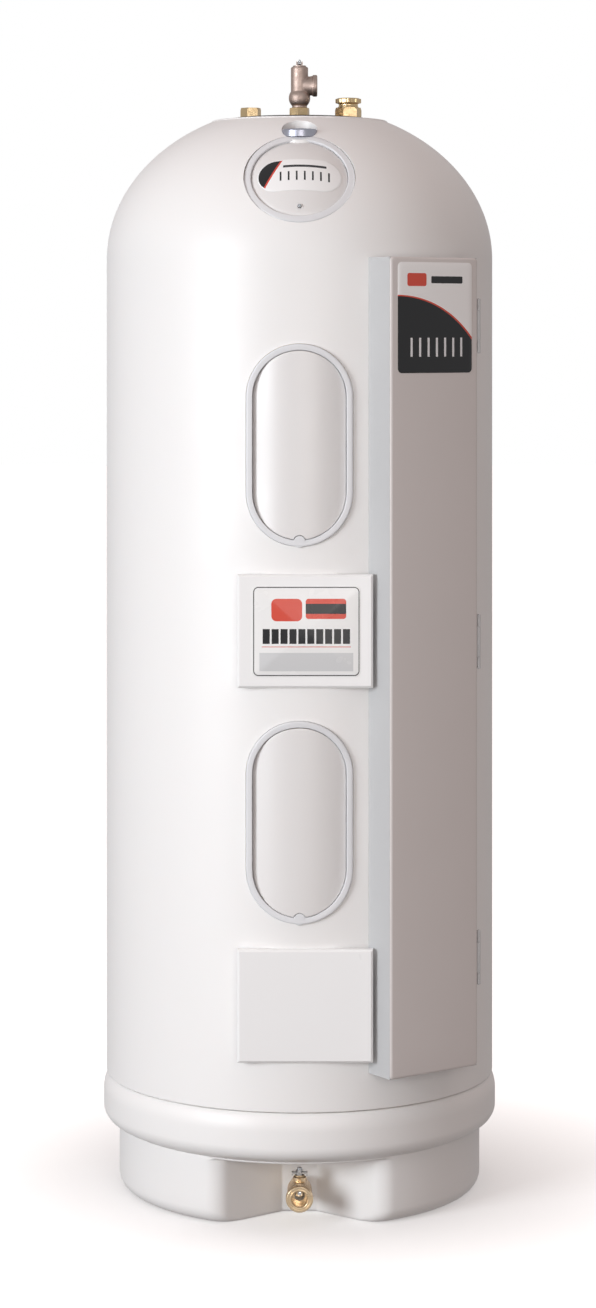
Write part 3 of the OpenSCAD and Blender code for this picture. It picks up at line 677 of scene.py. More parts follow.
def shade(piece: bpy.types.Object, angle: float = 32.0) -> bpy.types.Object:
    """Shades a piece smooth, with creases kept.

    Args:
        piece: The object.
        angle: Creases are edges sharper than this, in degrees.

    Returns:
        The same object.
    """
    piece.data.shade_smooth()
    piece.data.set_sharp_from_angle(angle=math.radians(angle))
    return piece


def bake(piece: bpy.types.Object) -> bpy.types.Object:
    """Turns a piece's modifiers into plain mesh.

    Args:
        piece: The object.

    Returns:
        The same object, with no modifiers.
    """
    graph = bpy.context.evaluated_depsgraph_get()
    mesh = bpy.data.meshes.new_from_object(piece.evaluated_get(graph), depsgraph=graph)
    piece.modifiers.clear()
    piece.data = mesh
    return piece


def carve(piece: bpy.types.Object, cutters: Sequence[bpy.types.Object]) -> bpy.types.Object:
    """Cuts solids out of a piece.

    Args:
        piece: The closed piece.
        cutters: Closed solids, which are removed afterwards.

    Returns:
        The same piece.
    """
    for cutter in cutters:
        cut = piece.modifiers.new("Cut", "BOOLEAN")
        cut.operation = "DIFFERENCE"
        cut.solver = "EXACT"
        cut.object = cutter
    bake(piece)
    for cutter in cutters:
        bpy.data.objects.remove(cutter)
    return piece


def bar(radius: float, low: float, high: float, axis: Axis, centre: Vector, segments: int = 64) -> bpy.types.Object:
    """A plain cylinder used as a cutter.

    Args:
        radius: Its radius.
        low: Where it starts along its axis.
        high: Where it ends.
        axis: Where its axis points.
        centre: Its origin, in millimetres.
        segments: Steps round it.

    Returns:
        The cutter.
    """
    return revolve("cutter", [(0, low), (radius, low), (radius, high), (0, high)], segments, placed(axis, centre))


def block(name: str, low: Vector, high: Vector, place: Matrix = Matrix.Identity(4)) -> bpy.types.Object:
    """A box between two corners.

    Args:
        name: Name of the piece.
        low: Lowest corner in millimetres.
        high: Highest corner.
        place: Placement, in millimetres.

    Returns:
        The object.
    """
    rings = []
    for z in (low.z, high.z):
        corners = ((low.x, low.y), (high.x, low.y), (high.x, high.y), (low.x, high.y))
        rings.append([place @ Vector((x, y, z)) for x, y in corners])
    middle = [place @ Vector(((low.x + high.x) / 2, (low.y + high.y) / 2, z)) for z in (low.z, high.z)]
    return skin(name, [[middle[0]] * 4, rings[0], rings[1], [middle[1]] * 4])


def refined(name: str, node: str, width: float, steps: int = 2, angle: float = 30.0) -> bpy.types.Object:
    """Copies a CAD node and rounds its edges.

    Args:
        name: Name of the new piece.
        node: CAD node that is copied.
        width: Width of the rounding in millimetres.
        steps: Segments of the rounding.
        angle: Edges sharper than this are rounded, in degrees.

    Returns:
        The piece.
    """
    shape = bmesh.new()
    shape.from_mesh(frame["nodes"][node].data)
    bmesh.ops.remove_doubles(shape, verts=shape.verts, dist=4e-6)
    bmesh.ops.dissolve_limit(shape, angle_limit=math.radians(0.6), verts=shape.verts, edges=shape.edges)
    made = to_object(name, shape)
    for layer in ("custom_normal", "sharp_edge", "sharp_face"):
        if layer in made.data.attributes:
            made.data.attributes.remove(made.data.attributes[layer])
    rounding = made.modifiers.new("Round", "BEVEL")
    rounding.width = width * MM
    rounding.segments = steps
    rounding.limit_method = "ANGLE"
    rounding.angle_limit = math.radians(angle)
    rounding.use_clamp_overlap = True
    bake(made)
    shade(made, 38.0)
    return weigh(made)


def weigh(piece: bpy.types.Object) -> bpy.types.Object:
    """Gives flat faces flat shading beside their roundings.

    Args:
        piece: The object.

    Returns:
        The same object.
    """
    weights = piece.modifiers.new("Weight", "WEIGHTED_NORMAL")
    weights.keep_sharp = True
    return bake(piece)


def cast(name: str, node: str, voxel: float, rounds: int = 6) -> bpy.types.Object:
    """Copies a CAD node with the soft edges of a casting.

    Args:
        name: Name of the new piece.
        node: CAD node that is copied.
        voxel: Size of the surface grid in millimetres.
        rounds: Smoothing passes.

    Returns:
        The piece.
    """
    shape = bmesh.new()
    shape.from_mesh(frame["nodes"][node].data)
    bmesh.ops.remove_doubles(shape, verts=shape.verts, dist=4e-6)
    made = to_object(name, shape)
    for layer in ("custom_normal", "sharp_edge", "sharp_face"):
        if layer in made.data.attributes:
            made.data.attributes.remove(made.data.attributes[layer])
    grid = made.modifiers.new("Grid", "REMESH")
    grid.mode = "VOXEL"
    grid.voxel_size = voxel * MM
    soften = made.modifiers.new("Soften", "SMOOTH")
    soften.factor = 0.5
    soften.iterations = rounds
    bake(made)
    made.data.shade_smooth()
    return made


def wear(
    piece: bpy.types.Object, finish: Finish, body: Union[Body, str], hides: Sequence[str] = ()
) -> bpy.types.Object:
    """Gives a piece its finish and its place in the assembly.

    Args:
        piece: The object.
        finish: Its surface.
        body: Body that it moves with.
        hides: CAD nodes that it stands for.

    Returns:
        The same object.
    """
    piece.data.materials.clear()
    piece.data.materials.append(finish.build())
    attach(piece, body.value if isinstance(body, Body) else body)
    if hides:
        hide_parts(*hides)
    LOG.info("%s: %d faces, %s", piece.name, len(piece.data.polygons), finish.name)
    return piece


# ----------------------------------------------------------------------------------------------- geometry nodes


def sweep_tree() -> bpy.types.NodeTree:
    """Geometry Nodes tree that turns a path of edges into round wire.

    Returns:
        The tree, whose inputs are Radius, Sides and Finish.
    """
    found = bpy.data.node_groups.get("WireSweep")
    if found:
        return found
    tree = bpy.data.node_groups.new("WireSweep", "GeometryNodeTree")
    tree.interface.new_socket("Geometry", in_out="INPUT", socket_type="NodeSocketGeometry")
    for name, kind in (("Radius", "NodeSocketFloat"), ("Sides", "NodeSocketInt"), ("Finish", "NodeSocketMaterial")):
        tree.interface.new_socket(name, in_out="INPUT", socket_type=kind)
    tree.interface.new_socket("Geometry", in_out="OUTPUT", socket_type="NodeSocketGeometry")
    given = add_node(tree, "NodeGroupInput").outputs
    path = add_node(tree, "GeometryNodeMeshToCurve", {0: given["Geometry"]}).outputs[0]
    ring = add_node(tree, "GeometryNodeCurvePrimitiveCircle", {"Resolution": given["Sides"], "Radius": given["Radius"]})
    pipe = add_node(
        tree, "GeometryNodeCurveToMesh", {"Curve": path, "Profile Curve": ring.outputs[0], "Fill Caps": True}
    )
    whole = add_node(tree, "GeometryNodeRealizeInstances", {0: pipe.outputs[0]})
    painted = add_node(
        tree, "GeometryNodeSetMaterial", {"Geometry": whole.outputs[0], "Material": given["Finish"]}
    )
    add_node(tree, "NodeGroupOutput", {0: painted.outputs[0]})
    return tree


def scatter_tree() -> bpy.types.NodeTree:
    """Geometry Nodes tree that sets one item on every point, turned by a seeded angle.

    Returns:
        The tree, whose inputs are Item, Tilt, Turn, Seed and Finish.
    """
    found = bpy.data.node_groups.get("PointScatter")
    if found:
        return found
    tree = bpy.data.node_groups.new("PointScatter", "GeometryNodeTree")
    tree.interface.new_socket("Geometry", in_out="INPUT", socket_type="NodeSocketGeometry")
    kinds = (
        ("Item", "NodeSocketObject"),
        ("Tilt", "NodeSocketVector"),
        ("Turn", "NodeSocketFloat"),
        ("Seed", "NodeSocketInt"),
        ("Finish", "NodeSocketMaterial"),
    )
    for name, kind in kinds:
        tree.interface.new_socket(name, in_out="INPUT", socket_type=kind)
    tree.interface.new_socket("Geometry", in_out="OUTPUT", socket_type="NodeSocketGeometry")
    given = add_node(tree, "NodeGroupInput").outputs
    item = add_node(tree, "GeometryNodeObjectInfo", {"Object": given["Item"]}).outputs["Geometry"]
    angle = add_node(
        tree, "FunctionNodeRandomValue", {"Min": 0.0, "Max": given["Turn"], "Seed": given["Seed"]}, data_type="FLOAT"
    )
    spin = add_node(tree, "ShaderNodeCombineXYZ", {"Z": [o for o in angle.outputs if o.enabled][0]})
    points = add_node(tree, "GeometryNodeMeshToPoints", {0: given["Geometry"]}).outputs[0]
    values = {"Points": points, "Instance": item, "Rotation": given["Tilt"]}
    copies = add_node(tree, "GeometryNodeInstanceOnPoints", values)
    values = {"Instances": copies.outputs[0], "Rotation": spin.outputs[0]}
    spun = add_node(tree, "GeometryNodeRotateInstances", values)
    whole = add_node(tree, "GeometryNodeRealizeInstances", {0: spun.outputs[0]})
    painted = add_node(
        tree, "GeometryNodeSetMaterial", {"Geometry": whole.outputs[0], "Material": given["Finish"]}
    )
    add_node(tree, "NodeGroupOutput", {0: painted.outputs[0]})
    return tree


def run_tree(piece: bpy.types.Object, tree: bpy.types.NodeTree, values: dict) -> bpy.types.Object:
    """Runs a Geometry Nodes tree on a piece and keeps the result as mesh.

    Args:
        piece: Object whose mesh is the tree's geometry.
        tree: The tree.
        values: Value for each named input.

    Returns:
        The same object.
    """
    step = piece.modifiers.new(tree.name, "NODES")
    step.node_group = tree
    for item in tree.interface.items_tree:
        if item.in_out == "INPUT" and item.name in values:
            step[item.identifier] = values[item.name]
    piece.update_tag()
    bake(piece)
    return shade(piece, 40.0)


def polyline(name: str, paths: Sequence[Sequence[Vector]]) -> bpy.types.Object:
    """Edges along paths, or loose points when a path has one point.

    Args:
        name: Name of the piece.
        paths: Paths in millimetres.

    Returns:
        The object.
    """
    shape = bmesh.new()
    for path in paths:
        row = [shape.verts.new(point * MM) for point in path]
        for low, high in zip(row, row[1:]):
            shape.edges.new((low, high))
    return to_object(name, shape)


def smooth_path(corners: Sequence[Vector], steps: int = 12) -> list[Vector]:
    """Catmull-Rom curve through corners.

    Args:
        corners: Points in millimetres.
        steps: Points per span.

    Returns:
        The dense path.
    """
    ends = [corners[0] * 2 - corners[1], *corners, corners[-1] * 2 - corners[-2]]
    out = []
    for a, b, c, d in zip(ends, ends[1:], ends[2:], ends[3:]):
        for k in range(steps):
            t = k / steps
            out.append(0.5 * (2 * b + (c - a) * t + (2 * a - 5 * b + 4 * c - d) * t**2 + (3 * b - a - 3 * c + d) * t**3))
    return out + [corners[-1]]


# --------------------------------------------------------------------------------------------------- assemblies


@dataclass
class Stage:
    """Pale floor, white studio and two lamps."""

    floor_size: float = 60.0
    key_azimuth: float = -46.0
    fill_azimuth: float = 10.0
    lamp_height: float = 7.0
    distance: float = 6.0
    size: float = 2.4
    key_power: float = 240.0
    fill_power: float = 62.0
    ambient: str = "ffeeea"
    zenith: float = 0.8
    horizon: float = 0.22
    sheen: float = 0.55
    # glow strength at the base, lower than the far glow: a painted contact shadow
    painted_shadow_glow: float = 0.3
    glow_far: float = 0.66

    def build(self) -> None:
        """Makes floor, world and lamps."""
        self.floor()
        self.world()
        self.lamp("Key", self.key_azimuth, self.key_power, "f6fbff")
        self.lamp("Fill", self.fill_azimuth, self.fill_power, "fffaf6")
        bpy.context.scene.view_settings.view_transform = "Standard"
        LOG.info("stage: floor, world, key lamp")

    def floor(self) -> None:
        """A seamless floor that glows a little, so that it stays white where no shadow falls; the glow is weaker near
        the base, as a painted contact shadow.
        """
        half = self.floor_size / 2
        shape = bmesh.new()
        corners = [shape.verts.new((x, y, 0.0)) for x, y in ((-half, -half), (half, -half), (half, half), (-half, half))]
        shape.faces.new(corners)
        ground = to_object("studio_floor", shape)
        material = bpy.data.materials.new("Studio_Floor")
        material.use_nodes = True
        tree = material.node_tree
        tree.nodes.clear()
        place = add_node(tree, "ShaderNodeTexCoord").outputs["Object"]
        cloud = add_node(tree, "ShaderNodeTexNoise", {"Vector": place, "Scale": 3.0}).outputs[0]
        tone = add_node(
            tree, "ShaderNodeMix", {0: cloud, 6: srgb("e8e8e8"), 7: srgb("e6e6e6")}, data_type="RGBA"
        ).outputs[2]
        matt = add_node(tree, "ShaderNodeBsdfDiffuse", {"Color": tone})
        # the glow rises from 0.34 m to 0.75 m from the axis; the weaker glow near the base is a painted contact shadow
        away = add_node(tree, "ShaderNodeVectorMath", {0: place}, operation="LENGTH").outputs["Value"]
        values = {"Value": away, "From Min": 0.34, "From Max": 0.75, "To Min": self.painted_shadow_glow, "To Max": self.glow_far}
        glow_with_painted_shadow = add_node(tree, "ShaderNodeMapRange", values).outputs[0]
        glow = add_node(tree, "ShaderNodeEmission", {"Color": (1.0, 1.0, 1.0, 1.0), "Strength": glow_with_painted_shadow})
        both = add_node(tree, "ShaderNodeAddShader", {0: matt.outputs[0], 1: glow.outputs[0]})
        add_node(tree, "ShaderNodeOutputMaterial", {"Surface": both.outputs[0]})
        ground.data.materials.append(material)
        ground.visible_diffuse = False
        ground.visible_glossy = False

    def world(self) -> None:
        """White behind the object, and a dimmer warm ambient on it."""
        world = bpy.data.worlds.new("Studio")
        bpy.context.scene.world = world
        world.use_nodes = True
        tree = world.node_tree
        tree.nodes.clear()
        ray = add_node(tree, "ShaderNodeLightPath").outputs
        height = add_node(tree, "ShaderNodeSeparateXYZ", {0: add_node(tree, "ShaderNodeTexCoord").outputs["Generated"]})
        upward = add_node(tree, "ShaderNodeMath", {0: height.outputs[2], 1: 0.0}, operation="MAXIMUM")
        curve = add_node(tree, "ShaderNodeMath", {0: upward.outputs[0], 1: 3.0}, operation="POWER")
        values = {0: curve.outputs[0], 1: self.zenith, 2: self.horizon}
        fade = add_node(tree, "ShaderNodeMath", values, operation="MULTIPLY_ADD")
        dim = add_node(tree, "ShaderNodeBackground", {"Color": srgb(self.ambient), "Strength": fade.outputs[0]})
        sheen = add_node(tree, "ShaderNodeBackground", {"Color": (1.0, 1.0, 1.0, 1.0), "Strength": self.sheen})
        white = add_node(tree, "ShaderNodeBackground", {"Color": (1.0, 1.0, 1.0, 1.0), "Strength": 1.0})
        soft = add_node(tree, "ShaderNodeMixShader", {0: ray["Is Glossy Ray"], 1: dim.outputs[0], 2: sheen.outputs[0]})
        mix = add_node(tree, "ShaderNodeMixShader", {0: ray["Is Camera Ray"], 1: soft.outputs[0], 2: white.outputs[0]})
        add_node(tree, "ShaderNodeOutputWorld", {"Surface": mix.outputs[0]})

    def lamp(self, name: str, azimuth: float, power: float, colour: str) -> None:
        """Adds a square softbox aimed at the middle of the heater.

        Args:
            name: Name of the lamp.
            azimuth: Angle from the front, negative to the left, in degrees.
            power: Power in watts.
            colour: sRGB hex code.
        """
        data = bpy.data.lights.new(name, "AREA")
        data.shape, data.size, data.energy = "SQUARE", self.size, power
        data.color = srgb(colour)[:3]
        made = bpy.data.objects.new(name, data)
        bpy.context.scene.collection.objects.link(made)
        a, e = math.radians(azimuth), math.radians(self.lamp_height)
        back = Vector((math.sin(a) * math.cos(e), -math.cos(a) * math.cos(e), math.sin(e)))
        made.location = Vector((0.0, 0.0, 1.0)) + back * self.distance
        made.rotation_euler = (-back).to_track_quat("-Z", "Y").to_euler()


@dataclass
class Camera:
    """Level view camera with a drop of the film plane, as used for tall products."""

    position: tuple[float, float, float] = (0.0, -5.69, 1.525)
    lens: float = 87.3
    shift: Point = (-0.00115, -0.2477)

    def build(self) -> None:
        """Makes the camera and sets it as the scene's."""
        data = bpy.data.cameras.new("Camera")
        data.lens = self.lens
        data.sensor_fit = "AUTO"
        data.shift_x, data.shift_y = self.shift
        data.clip_end = 200.0
        made = bpy.data.objects.new("Camera", data)
        bpy.context.scene.collection.objects.link(made)
        made.location = self.position
        made.rotation_euler = (math.radians(90), 0.0, 0.0)
        bpy.context.scene.camera = made
        LOG.info("camera: %.1f mm at %s", self.lens, self.position)


@dataclass
class Jacket:
    """Moulded outer skin: cylinder with an elliptical dome, and the round top trim."""

    radius: float = 345.0
    wall: float = 4.0
    foot: float = 2.6
    dome_height: float = 275.0
    opening: float = 154.4
    segments: int = 288
    oval: Point = (182.0, 343.0)
    junction_tilt: float = 36.5
    junction_hole: float = 95.5
    hub_hole: float = 31.2
    cable_hole: float = 12.0
    cable_heights: tuple[float, ...] = (695.0, 1331.0, 1575.0)
    box_angle: float = 35.4
    spring: float = field(init=False, default=0.0)

    def edge(self, radius: float, height: float, steps: int) -> list[Point]:
        """Section of the dome.

        Args:
            radius: Radius at the dome's foot.
            height: Height of the full half ellipse.
            steps: Number of segments.

        Returns:
            Points from the foot to the opening.
        """
        last = math.acos(self.opening / radius)
        turns = [last * i / steps for i in range(steps + 1)]
        return [(radius * math.cos(t), self.spring + height * math.sin(t)) for t in turns]

    def build(self) -> None:
        """Makes the skin and the top trim."""
        low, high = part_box("jacket_shell")
        bottom, top = low.z / MM, high.z / MM
        self.spring = top - self.dome_height * math.sqrt(1 - (self.opening / self.radius) ** 2)
        foot = arc((self.radius - self.foot, bottom + self.foot), self.foot, -70, 0, 5)
        walls = foot + [(self.radius, bottom + (self.spring - bottom) * k / 16) for k in range(1, 16)]
        inner = self.edge(self.radius - self.wall, self.dome_height - self.wall, 24)
        outer = self.edge(self.radius, self.dome_height, 48)
        profile = walls + outer + inner[::-1] + [(self.radius - self.wall, bottom)]
        piece = revolve("jacket_skin", profile, self.segments)
        carve(piece, self.cutters())
        self.true_normals(piece)
        wear(piece, JACKET, Body.HEATER, ["jacket_shell"])
        self.top()

    def cutters(self) -> list[bpy.types.Object]:
        """Solids for the openings.

        Returns:
            The cutters.
        """
        out = []
        for node in ("upper_frame", "lower_frame"):
            low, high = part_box(node)
            middle = (low.z + high.z) / 2 / MM
            outline = stadium(*self.oval, 32, 1)
            rings = [[Vector((x, y, middle + z)) for (x, z), _ in outline] for y in (-400.0, -200.0)]
            centre = [[Vector((0.0, y, middle))] * len(outline) for y in (-400.0, -200.0)]
            out.append(skin("cutter", [centre[0], rings[0], rings[1], centre[1]]))
        out.append(bar(self.junction_hole, -70, 60, Axis.UP, Vector(), 128))
        out[-1].data.transform(Junction().place_metres())
        hub = (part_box("conduit_hub")[0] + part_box("conduit_hub")[1]) / 2 / MM
        out.append(bar(self.hub_hole, -80, 100, Axis.UP, Vector((hub.x, hub.y, hub.z)), 96))
        turn = Matrix.Rotation(math.radians(self.box_angle), 4, "Z")
        for height in self.cable_heights:
            hole = bar(self.cable_hole, 300, 360, Axis.FRONT, Vector((0.0, 0.0, height)), 40)
            hole.data.transform(turn)
            out.append(hole)
        LOG.info("jacket openings: %d", len(out))
        return out

    def true_normals(self, piece: bpy.types.Object) -> None:
        """Sets exact normals on the outer skin, so that the cut faces shade without ripples.

        Args:
            piece: The skin.
        """
        shade(piece)
        mesh = piece.data
        spring = self.spring * MM
        squash = (self.radius / self.dome_height) ** 2
        wanted = [Vector()] * len(mesh.loops)
        for face in mesh.polygons:
            for loop in face.loop_indices:
                spot = mesh.vertices[mesh.loops[loop].vertex_index].co
                rise = max(0.0, spot.z - spring) * squash
                normal = Vector((spot.x, spot.y, rise)).normalized()
                if face.normal.dot(normal) > 0.97:
                    wanted[loop] = normal
        mesh.normals_split_custom_set(wanted)

    def top(self) -> None:
        """Makes the rim ring and the black disc under the fittings."""
        low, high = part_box("top_rim")
        base, top, r = low.z / MM, high.z / MM, high.x / MM
        lip = [(118, base), (r - 1.6, base), (r - 1.6, top - 2)]
        lip += [(r + 3.8, top - 1.7), (r + 4.2, top), (r + 2, top + 1.4)]
        ring = fillet([*lip, (118, top + 1)], [0, 1, 0.4, 0.4, 0.8, 0.8, 0])
        wear(shade(revolve("rim_ring", ring, 192)), JACKET, Body.HEATER, ["top_rim"])
        low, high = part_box("top_gasket")
        base, top, r = low.z / MM, high.z / MM, high.x / MM
        disc = fillet([(0, base), (r + 1, base), (r + 1, top + 1.6), (0, top + 1.6)], [0, 0.4, 0.8, 0])
        piece = revolve("top_disc", disc, 160)
        holes = [bar(17.5, base - 5, top + 5, Axis.UP, Vector((x, 0, 0))) for x in (-87.5, 0, 87.5)]
        wear(shade(carve(piece, holes)), RUBBER, Body.HEATER, ["top_gasket"])


@dataclass
class Base:
    """Moulded plinth with a roll around its top and a recess for the drain valve."""

    plinth: float = 322.0
    roll: float = 350.0
    ceiling: float = 112.0
    panel_half: float = 30.0
    panel_y: float = 205.0
    corner: float = 35.0
    inner_round: float = 4.0
    facet: Point = (0.794, -0.608)
    foot: float = 26.0
    recess_foot: float = 7.0
    lip: float = 4.0
    wall: float = 5.0

    def plan(self) -> list[tuple[float, float]]:
        """Half plan of the recess as angle and radius.

        Returns:
            Angle from the front in radians and distance from the axis, from the middle outwards.
        """
        along = Vector(self.facet)
        out = Vector((-along.y, along.x))
        start = Vector((self.panel_half, -self.panel_y))
        base = start + out * self.corner
        reach = self.plinth - self.corner
        b = base.dot(along)
        centre = base + along * (-b + math.sqrt(b * b - base.dot(base) + reach * reach))
        touch = centre - out * self.corner
        first, last = math.degrees(math.atan2(-out.y, -out.x)), math.degrees(math.atan2(centre.y, centre.x))
        corners = fillet([(0, -self.panel_y), tuple(start), tuple(touch)], [0, self.inner_round, 0], 8)
        points = corners + arc(tuple(centre), self.corner, first, last, 16)[1:]
        dense = []
        for a, b in zip(points, points[1:]):
            for k in range(12):
                spot = Vector(a).lerp(Vector(b), k / 12)
                dense.append((math.atan2(spot.x, -spot.y), spot.length))
        return dense + [(math.atan2(points[-1][0], -points[-1][1]), self.plinth)]

    def reach(self, plan: Sequence[tuple[float, float]], turn: float) -> float:
        """Distance from the axis to the plinth's wall.

        Args:
            plan: Half plan of the recess.
            turn: Angle from the front in radians.

        Returns:
            The distance in millimetres.
        """
        side = abs(turn)
        for (a, ra), (b, rb) in zip(plan, plan[1:]):
            if a <= side < b:
                return ra + (rb - ra) * (side - a) / (b - a)
        return self.plinth

    def build(self) -> None:
        """Makes the base."""
        plan = self.plan()
        edge = math.degrees(plan[-1][0])
        fine = [k * 0.33 for k in range(int((edge + 3) / 0.33))]
        coarse = [fine[-1] + (180 - fine[-1]) * k / 110 for k in range(1, 110)]
        half = fine + coarse
        turns = [math.radians(t) for t in [-t for t in reversed(half[1:])] + half + [180.0]]
        walls = [self.reach(plan, t) for t in turns]
        rings: list[list[Point]] = [[(0.0, 0.0)] * len(turns)]
        depth = [min(1.0, (self.plinth - r) / 40.0) for r in walls]
        feet = [self.foot + (self.recess_foot - self.foot) * d for d in depth]
        for k in range(9):
            a = math.radians(-90 + 90 * k / 8)
            rings.append([(r - f + f * math.cos(a), f + f * math.sin(a)) for r, f in zip(walls, feet)])
        for k in range(1, 4):
            rings.append([(r, f + (self.ceiling - self.lip - f) * k / 4) for r, f in zip(walls, feet)])
        for k in range(5):
            a = math.radians(90 * k / 4)
            z = self.ceiling - self.lip + self.lip * math.sin(a)
            rings.append([(min(self.plinth, r + self.lip * (1 - math.cos(a))), z) for r in walls])
        for k in range(5):
            a = math.radians(90 * k / 4)
            z = self.ceiling + self.lip * (1 - math.cos(a))
            rings.append([(max(r, self.plinth - self.lip * (1 - math.sin(a))), z) for r in walls])
        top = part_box("base_bowl")[1].z / MM
        roll = arc((self.roll - 26, 146), 26, -60, 0, 10) + arc((self.roll - 60, top - 32), 60, 0, 27, 10)
        roll += arc((338.6, top - 4.6), 3.6, 20, 90, 5)
        rings += [[point] * len(turns) for point in roll]
        shaped = [
            [Vector((r * math.sin(t), -r * math.cos(t), z)) for (r, z), t in zip(ring, turns)] for ring in rings
        ]
        piece = skin("base_skin", shaped)
        thick = piece.modifiers.new("Wall", "SOLIDIFY")
        thick.thickness = self.wall * MM
        thick.offset = -1.0
        bake(piece)
        low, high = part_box("drain_ball")
        hole = bar(14.0, 190, 225, Axis.FRONT, Vector((0, 0, (low.z + high.z) / 2 / MM)))
        carve(piece, [hole])
        wear(shade(piece, 50.0), JACKET, Body.HEATER, ["base_bowl"])


@dataclass
class AccessOpening:
    """Oval frame with its well, and the convex snap-in cover."""

    label: str
    body: Body
    width: float = 181.0
    height: float = 342.0
    ring: float = 11.0
    jacket: float = 345.0
    proud: float = 6.0
    cover_radius: float = 155.0
    cover_front: float = 352.0
    cover_gap: float = 0.7
    cover_wall: float = 3.0
    bump: float = 10.5
    middle: float = field(init=False, default=0.0)
    back: float = field(init=False, default=0.0)

    def build(self) -> None:
        """Makes frame, bump and cover."""
        low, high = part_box(f"{self.label}_frame")
        self.middle = (low.z + high.z) / 2 / MM
        self.back = high.y / MM
        self.frame_piece()
        self.cover_piece()

    def on_jacket(self, x: float, lift: float) -> float:
        """Depth of a point at a height over the jacket.

        Args:
            x: Sideways position.
            lift: Height over the jacket.

        Returns:
            The y coordinate in millimetres.
        """
        return -math.sqrt((self.jacket + lift) ** 2 - x * x)

    def frame_piece(self) -> None:
        """Makes the frame: a rounded ring, the well's wall and its back."""
        section = fillet(
            [(0, -11.5), (0, self.proud), (self.ring, self.proud - 1.2), (self.ring, -18)], [0, 2.6, 2.2, 0], 5
        )
        outline = stadium(self.width, self.height, 40, 10)
        rings = []
        for inset, lift in section:
            ring = []
            for (x, z), (nx, nz) in outline:
                px, pz = x - nx * inset, z - nz * inset
                ring.append(Vector((px, self.on_jacket(px, lift), self.middle + pz)))
            rings.append(ring)
        inner = self.ring - 3
        half = self.width / 2
        stations = [(self.ring, self.back - 3), (half, self.back - 3), (half, self.back), (inner, self.back)]
        stations.append((inner, -328.0))
        for inset, y in stations:
            rings.append([Vector((x - nx * inset, y, self.middle + z - nz * inset)) for (x, z), (nx, nz) in outline])
        ring = []
        for (x, z), (nx, nz) in outline:
            px, pz = x - nx * inner, z - nz * inner
            ring.append(Vector((px, self.on_jacket(px, -12), self.middle + pz)))
        rings.append(ring)
        piece = skin(f"{self.label}_oval_frame", rings, closed=True)
        element = Vector((0, 0, self.middle - 85))
        cuts = [bar(33.0, 240, 300, Axis.FRONT, element)]
        cuts.append(block("cutter", Vector((-35, -291, self.middle + 2)), Vector((35, -261, self.middle + 88))))
        carve(piece, cuts)
        wear(shade(piece, 35), TRIM, Body.HEATER, [f"{self.label}_frame"])
        foot = self.middle - (self.height - 2 * self.ring) / 2 - 2.5
        edge = fillet([(0, 323.5), (self.bump, 323.5), (self.bump, 350.2), (0, 350.2)], [0, 0, 2.2, 0], 5)
        pad = revolve(f"{self.label}_finger_stop", edge, 64, placed(Axis.FRONT, Vector((0, 0, foot))))
        wear(shade(pad), TRIM, Body.HEATER)

    def cover_piece(self) -> None:
        """Makes the cover as a crowned panel with rounded edges."""
        w = self.width - 2 * self.ring - 2 * self.cover_gap
        h = self.height - 2 * self.ring - 2 * self.cover_gap
        outline = stadium(w, h, 40, 12)
        axis_y = self.cover_radius - self.cover_front
        straight = (h - w) / 2
        rings = []
        section = [(k / 14, 0.0) for k in range(14)]
        for a in [math.radians(90 * j / 5) for j in range(6)]:
            section.append((1 - 1.4 / 78 * (1 - math.sin(a)), 1.4 * (1 - math.cos(a))))
        section += [(1.0, self.cover_wall)] + [(1 - k / 8, self.cover_wall) for k in range(1, 9)]
        for share, drop in section:
            ring = []
            for (x, z), _ in outline:
                core = max(-straight, min(straight, z))
                px, pz = x * share, core + (z - core) * share
                y = axis_y - math.sqrt(self.cover_radius**2 - px * px) + drop
                ring.append(Vector((px, y, self.middle + pz)))
            rings.append(ring)
        piece = skin(f"{self.label}_oval_cover", rings)
        foot = self.middle - (self.height - 2 * self.ring) / 2 - 2.5
        carve(piece, [bar(11.2, 240, 380, Axis.FRONT, Vector((0, 0, foot)), 96)])
        wear(shade(piece, 42), COVER_PAINTED_SHADE, self.body, [f"{self.label}_cover"])


